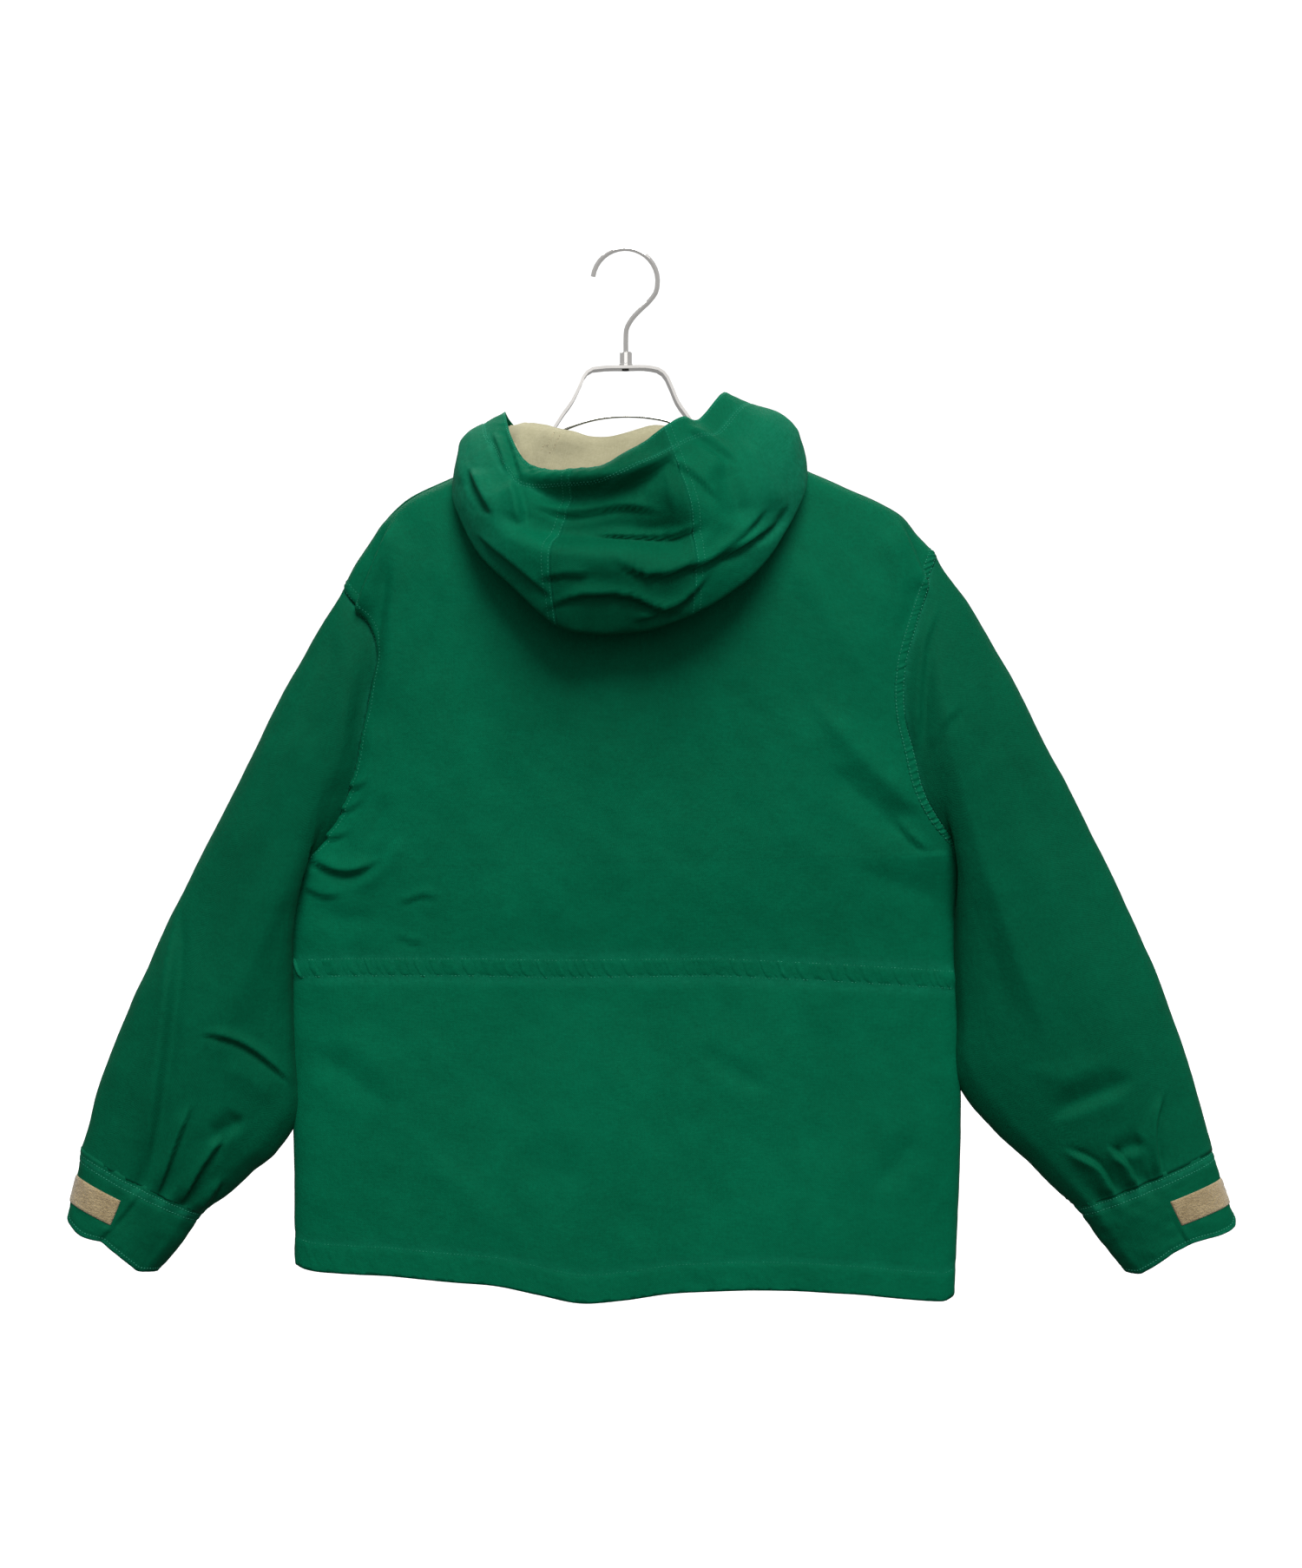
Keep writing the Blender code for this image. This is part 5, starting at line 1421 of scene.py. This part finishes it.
def dress_lining(grid, normals):
    """The lining inside the hood, with its creases and the seam that shows over the rim."""
    grid, normals = grid[4:-2:2, ::2], normals[4:-2:2, ::2]
    middle = np.clip((LINING_SINKS - np.abs(seen(grid)[0] - HOOD_MIDDLE)) / 60, 0, 1)[..., None]
    depth = LINING_IN + middle * (2.2 + 8.0 * np.clip(-normals[..., 1:2], 0, 1))
    inner = grid - normals * depth
    rounder = inner.copy()
    for _ in range(6):
        rounder[1:-1] = rounder[:-2] / 4 + rounder[1:-1] / 2 + rounder[2:] / 4
    push = ((rounder - inner) * normals).sum(axis=2, keepdims=True)
    inner = inner + np.clip(push, -0.4 - 4 * middle, 0) * normals  # inwards only, to stay in at the turns
    facing = outward(inner, False)
    wrinkled = creased(inner, facing, LINING_CREASES, 1.0)
    wrinkled += 0.5 * ripple(inner[..., 0], inner[..., 2], 30, 98)
    inner = inner + facing * wrinkled[..., None]
    piece = shell("lining_of_hood", inner, False, LINING_CLOTH, thick=0.5)
    u, v = seen(inner)
    facing = -outward(inner, False)
    hidden = np.where(facing[..., 1] < -0.2, 0, 1e6)
    rows = []
    for path in LINING_SEAM:
        away = [np.hypot(u - at_u, v - at_v) + hidden for at_u, at_v in smooth_path(path)]
        spots = tuple(np.transpose([np.unravel_index(np.argmin(one), one.shape) for one in away]))
        rows.append((inner[spots] + 0.5 * facing[spots], facing[spots]))
    declare(piece, "hood_lining", [stitches("lining_stitches", rows, THREAD_BEIGE, pitch=2.9)])


dress_lining(*dress_hood())

# ---- zip --------------------------------------------------------------------------------------

TOOTH_PITCH = 2.5  # of one side's teeth
TAPE_EDGE = 1.2  # from the centre line to a tape's edge
TOOTH_FACES = [(0, 1, 3, 2), (4, 6, 7, 5), (0, 4, 5, 1), (2, 3, 7, 6), (0, 2, 6, 4), (1, 5, 7, 3)]


def dress_zip():
    """The two tapes behind the fronts' edges, and teeth that reach to each side in turn."""
    behind = np.array([0.0, -(CLOTH + SEAM_GAP), 0.0])
    middle = 0
    for side, sign, at, beside in (("left", -1, -1, -2), ("right", 1, 0, 1)):
        edge = FRONTS[side][:, at]
        middle = middle + edge / 2
        inner = edge.copy()
        inner[:, 0] = sign * TAPE_EDGE
        run = FRONTS[side][:, beside] - edge
        far = edge + run * (ZIP_TAPE_UNDER / np.linalg.norm(run, axis=1, keepdims=True))
        coarse = np.stack([far, edge, inner][::-sign], axis=1) + behind
        grid = sample(sample(coarse, BODY_ROWS, 0), np.linspace(0, 2, 13), 1)
        grid[..., 1] += 0.12 * ripple(grid[..., 0], grid[..., 2], 9, 101)
        tape = shell(f"tape_of_zip_{side}", grid, True, TAPE_CLOTH, thick=0.6)
        declare(tape, f"zip_tape_{side}")
    middle = sample(middle[:, None], BODY_ROWS, 0)[:, 0]
    length = line_length(middle)
    points, faces = [], []
    for index, spot in enumerate(np.arange(3.0, length[-1] - 2.0, TOOTH_PITCH / 2)):
        at = at_length(middle, length, spot) + (0, -0.9, 0)
        side = -1 if index % 2 else 1
        faces += [tuple(len(points) + corner for corner in quad[::side]) for quad in TOOTH_FACES]
        for x, narrow in ((-0.9, 1.0), (2.9, 0.75)):
            points += [at + (x * side, y * narrow, z * narrow) for y in (-0.9, 0.9) for z in (-0.55, 0.55)]
    piece = mesh_piece("zip_teeth", points, faces, TEETH_PLASTIC, smooth=False)
    face_out(piece)
    rounder = piece.modifiers.new("edges", "BEVEL")
    rounder.width = 0.18 * MM
    rounder.segments = 1
    apply_modifiers(piece)
    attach(piece, "parka")
    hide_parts("zip_chain")


dress_zip()

# ---- metal that stays as packed ---------------------------------------------------------------

METALS = {
    "zip_slider": NICKEL, "zip_pull": NICKEL, "hanger_bar": NICKEL, "hanger_head": SATIN_STEEL,
    "hanger_arm_left": SATIN_STEEL, "hanger_arm_right": SATIN_STEEL, "hanger_ferrule": CHROME,
    "hanger_hook": CHROME,
}
for node, finish in METALS.items():
    for slot in NODES[node].material_slots:
        slot.material = finish

# A near-black disc as painted shade in the small hole just under the head's band.
SHADE_DISC_RADIUS = 3.1
SHADE_DISC_HEIGHT = 1.3
SHADE_DISC_AT = (-0.4, 0.0, -106.7)

bpy.ops.mesh.primitive_cylinder_add(vertices=32, radius=SHADE_DISC_RADIUS * MM, depth=SHADE_DISC_HEIGHT * MM)
shade_disc = bpy.context.active_object
shade_disc.name = "painted_shade_in_hole_under_head"
for vertex in shade_disc.data.vertices:
    vertex.co += Vector(SHADE_DISC_AT) * MM
shade_disc.data.materials.append(moulded("near-black painted shade", (0.012, 0.011, 0.010), 0.6))
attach(shade_disc, "parka")

# ---- stage, light and camera ------------------------------------------------------------------

FLOOR_Z = -1.45
bpy.ops.mesh.primitive_plane_add(size=30, location=(0, 0, 0))
floor = bpy.context.active_object
floor.name = "pale_floor"
for vertex in floor.data.vertices:
    vertex.co.z = FLOOR_Z
paper = Finish("pale paper", Roughness=0.9, Specular_IOR_Level=0.1)
paper_tone = paper.fit(paper.noise(paper.place(), 3.0), 0.3, 0.7)
paper.feed("Base Color", paper.mix(paper_tone, (0.93, 0.93, 0.93, 1), (0.95, 0.95, 0.95, 1)))
floor.data.materials.append(paper.material)
floor.visible_diffuse = False
floor.visible_glossy = False

SKY_LIGHT = (0.03, 0.28)  # what the pale room gives from below and from above
SKY_SEEN = 1.15
SKY_SHINE = 0.34  # polished metal sees a brighter room

world = bpy.data.worlds.new("studio")
bpy.context.scene.world = world
world.use_nodes = True
room = Shading(world.node_tree)
height = room.node("SeparateXYZ", 2, Vector=room.node("TexCoord", "Generated"))
level = room.node("MapRange", Value=height, From_Min=-1.0, To_Min=SKY_LIGHT[0], To_Max=SKY_LIGHT[1])
strength = room.node("LightPath", "Is Glossy Ray") * SKY_SHINE + level
lit = room.node("Background", Color=(1, 1, 1, 1), Strength=strength)
bright = room.node("Background", Color=(1, 1, 1, 1), Strength=SKY_SEEN)
choose = room.node("MixShader", _0=room.node("LightPath", "Is Camera Ray"), _1=lit, _2=bright)
room.tree.links.new(choose.socket, room.tree.nodes["World Output"].inputs[0])
bpy.context.scene.view_settings.view_transform = "Standard"


def soft_sun(name, strength, angle, way):
    """A broad distant light that shines along a direction."""
    data = bpy.data.lights.new(name, "SUN")
    data.energy = strength
    data.angle = math.radians(angle)
    made = bpy.data.objects.new(name, data)
    bpy.context.scene.collection.objects.link(made)
    made.location = [-3 * part for part in way]
    made.rotation_euler = Vector(way).to_track_quat("-Z", "Y").to_euler()


soft_sun("soft_key", 3.1, 34, (-0.10, 0.60, -0.79))
soft_sun("soft_front", 0.62, 60, (-0.05, 0.92, -0.39))
soft_sun("soft_back", 1.6, 40, (0.10, -0.60, -0.70))

camera_data = bpy.data.cameras.new("camera")
camera = bpy.data.objects.new("camera", camera_data)
bpy.context.scene.collection.objects.link(camera)
camera.location = (CAMERA_X * MM, -CAMERA_AWAY * MM, CAMERA_Z * MM)
camera.rotation_euler = (math.radians(90), 0, 0)
camera_data.sensor_width = 36.0
camera_data.lens = 36.0 * CAMERA_AWAY / (FRAME_HEIGHT * PIXEL)
camera_data.clip_end = 100.0
bpy.context.scene.camera = camera
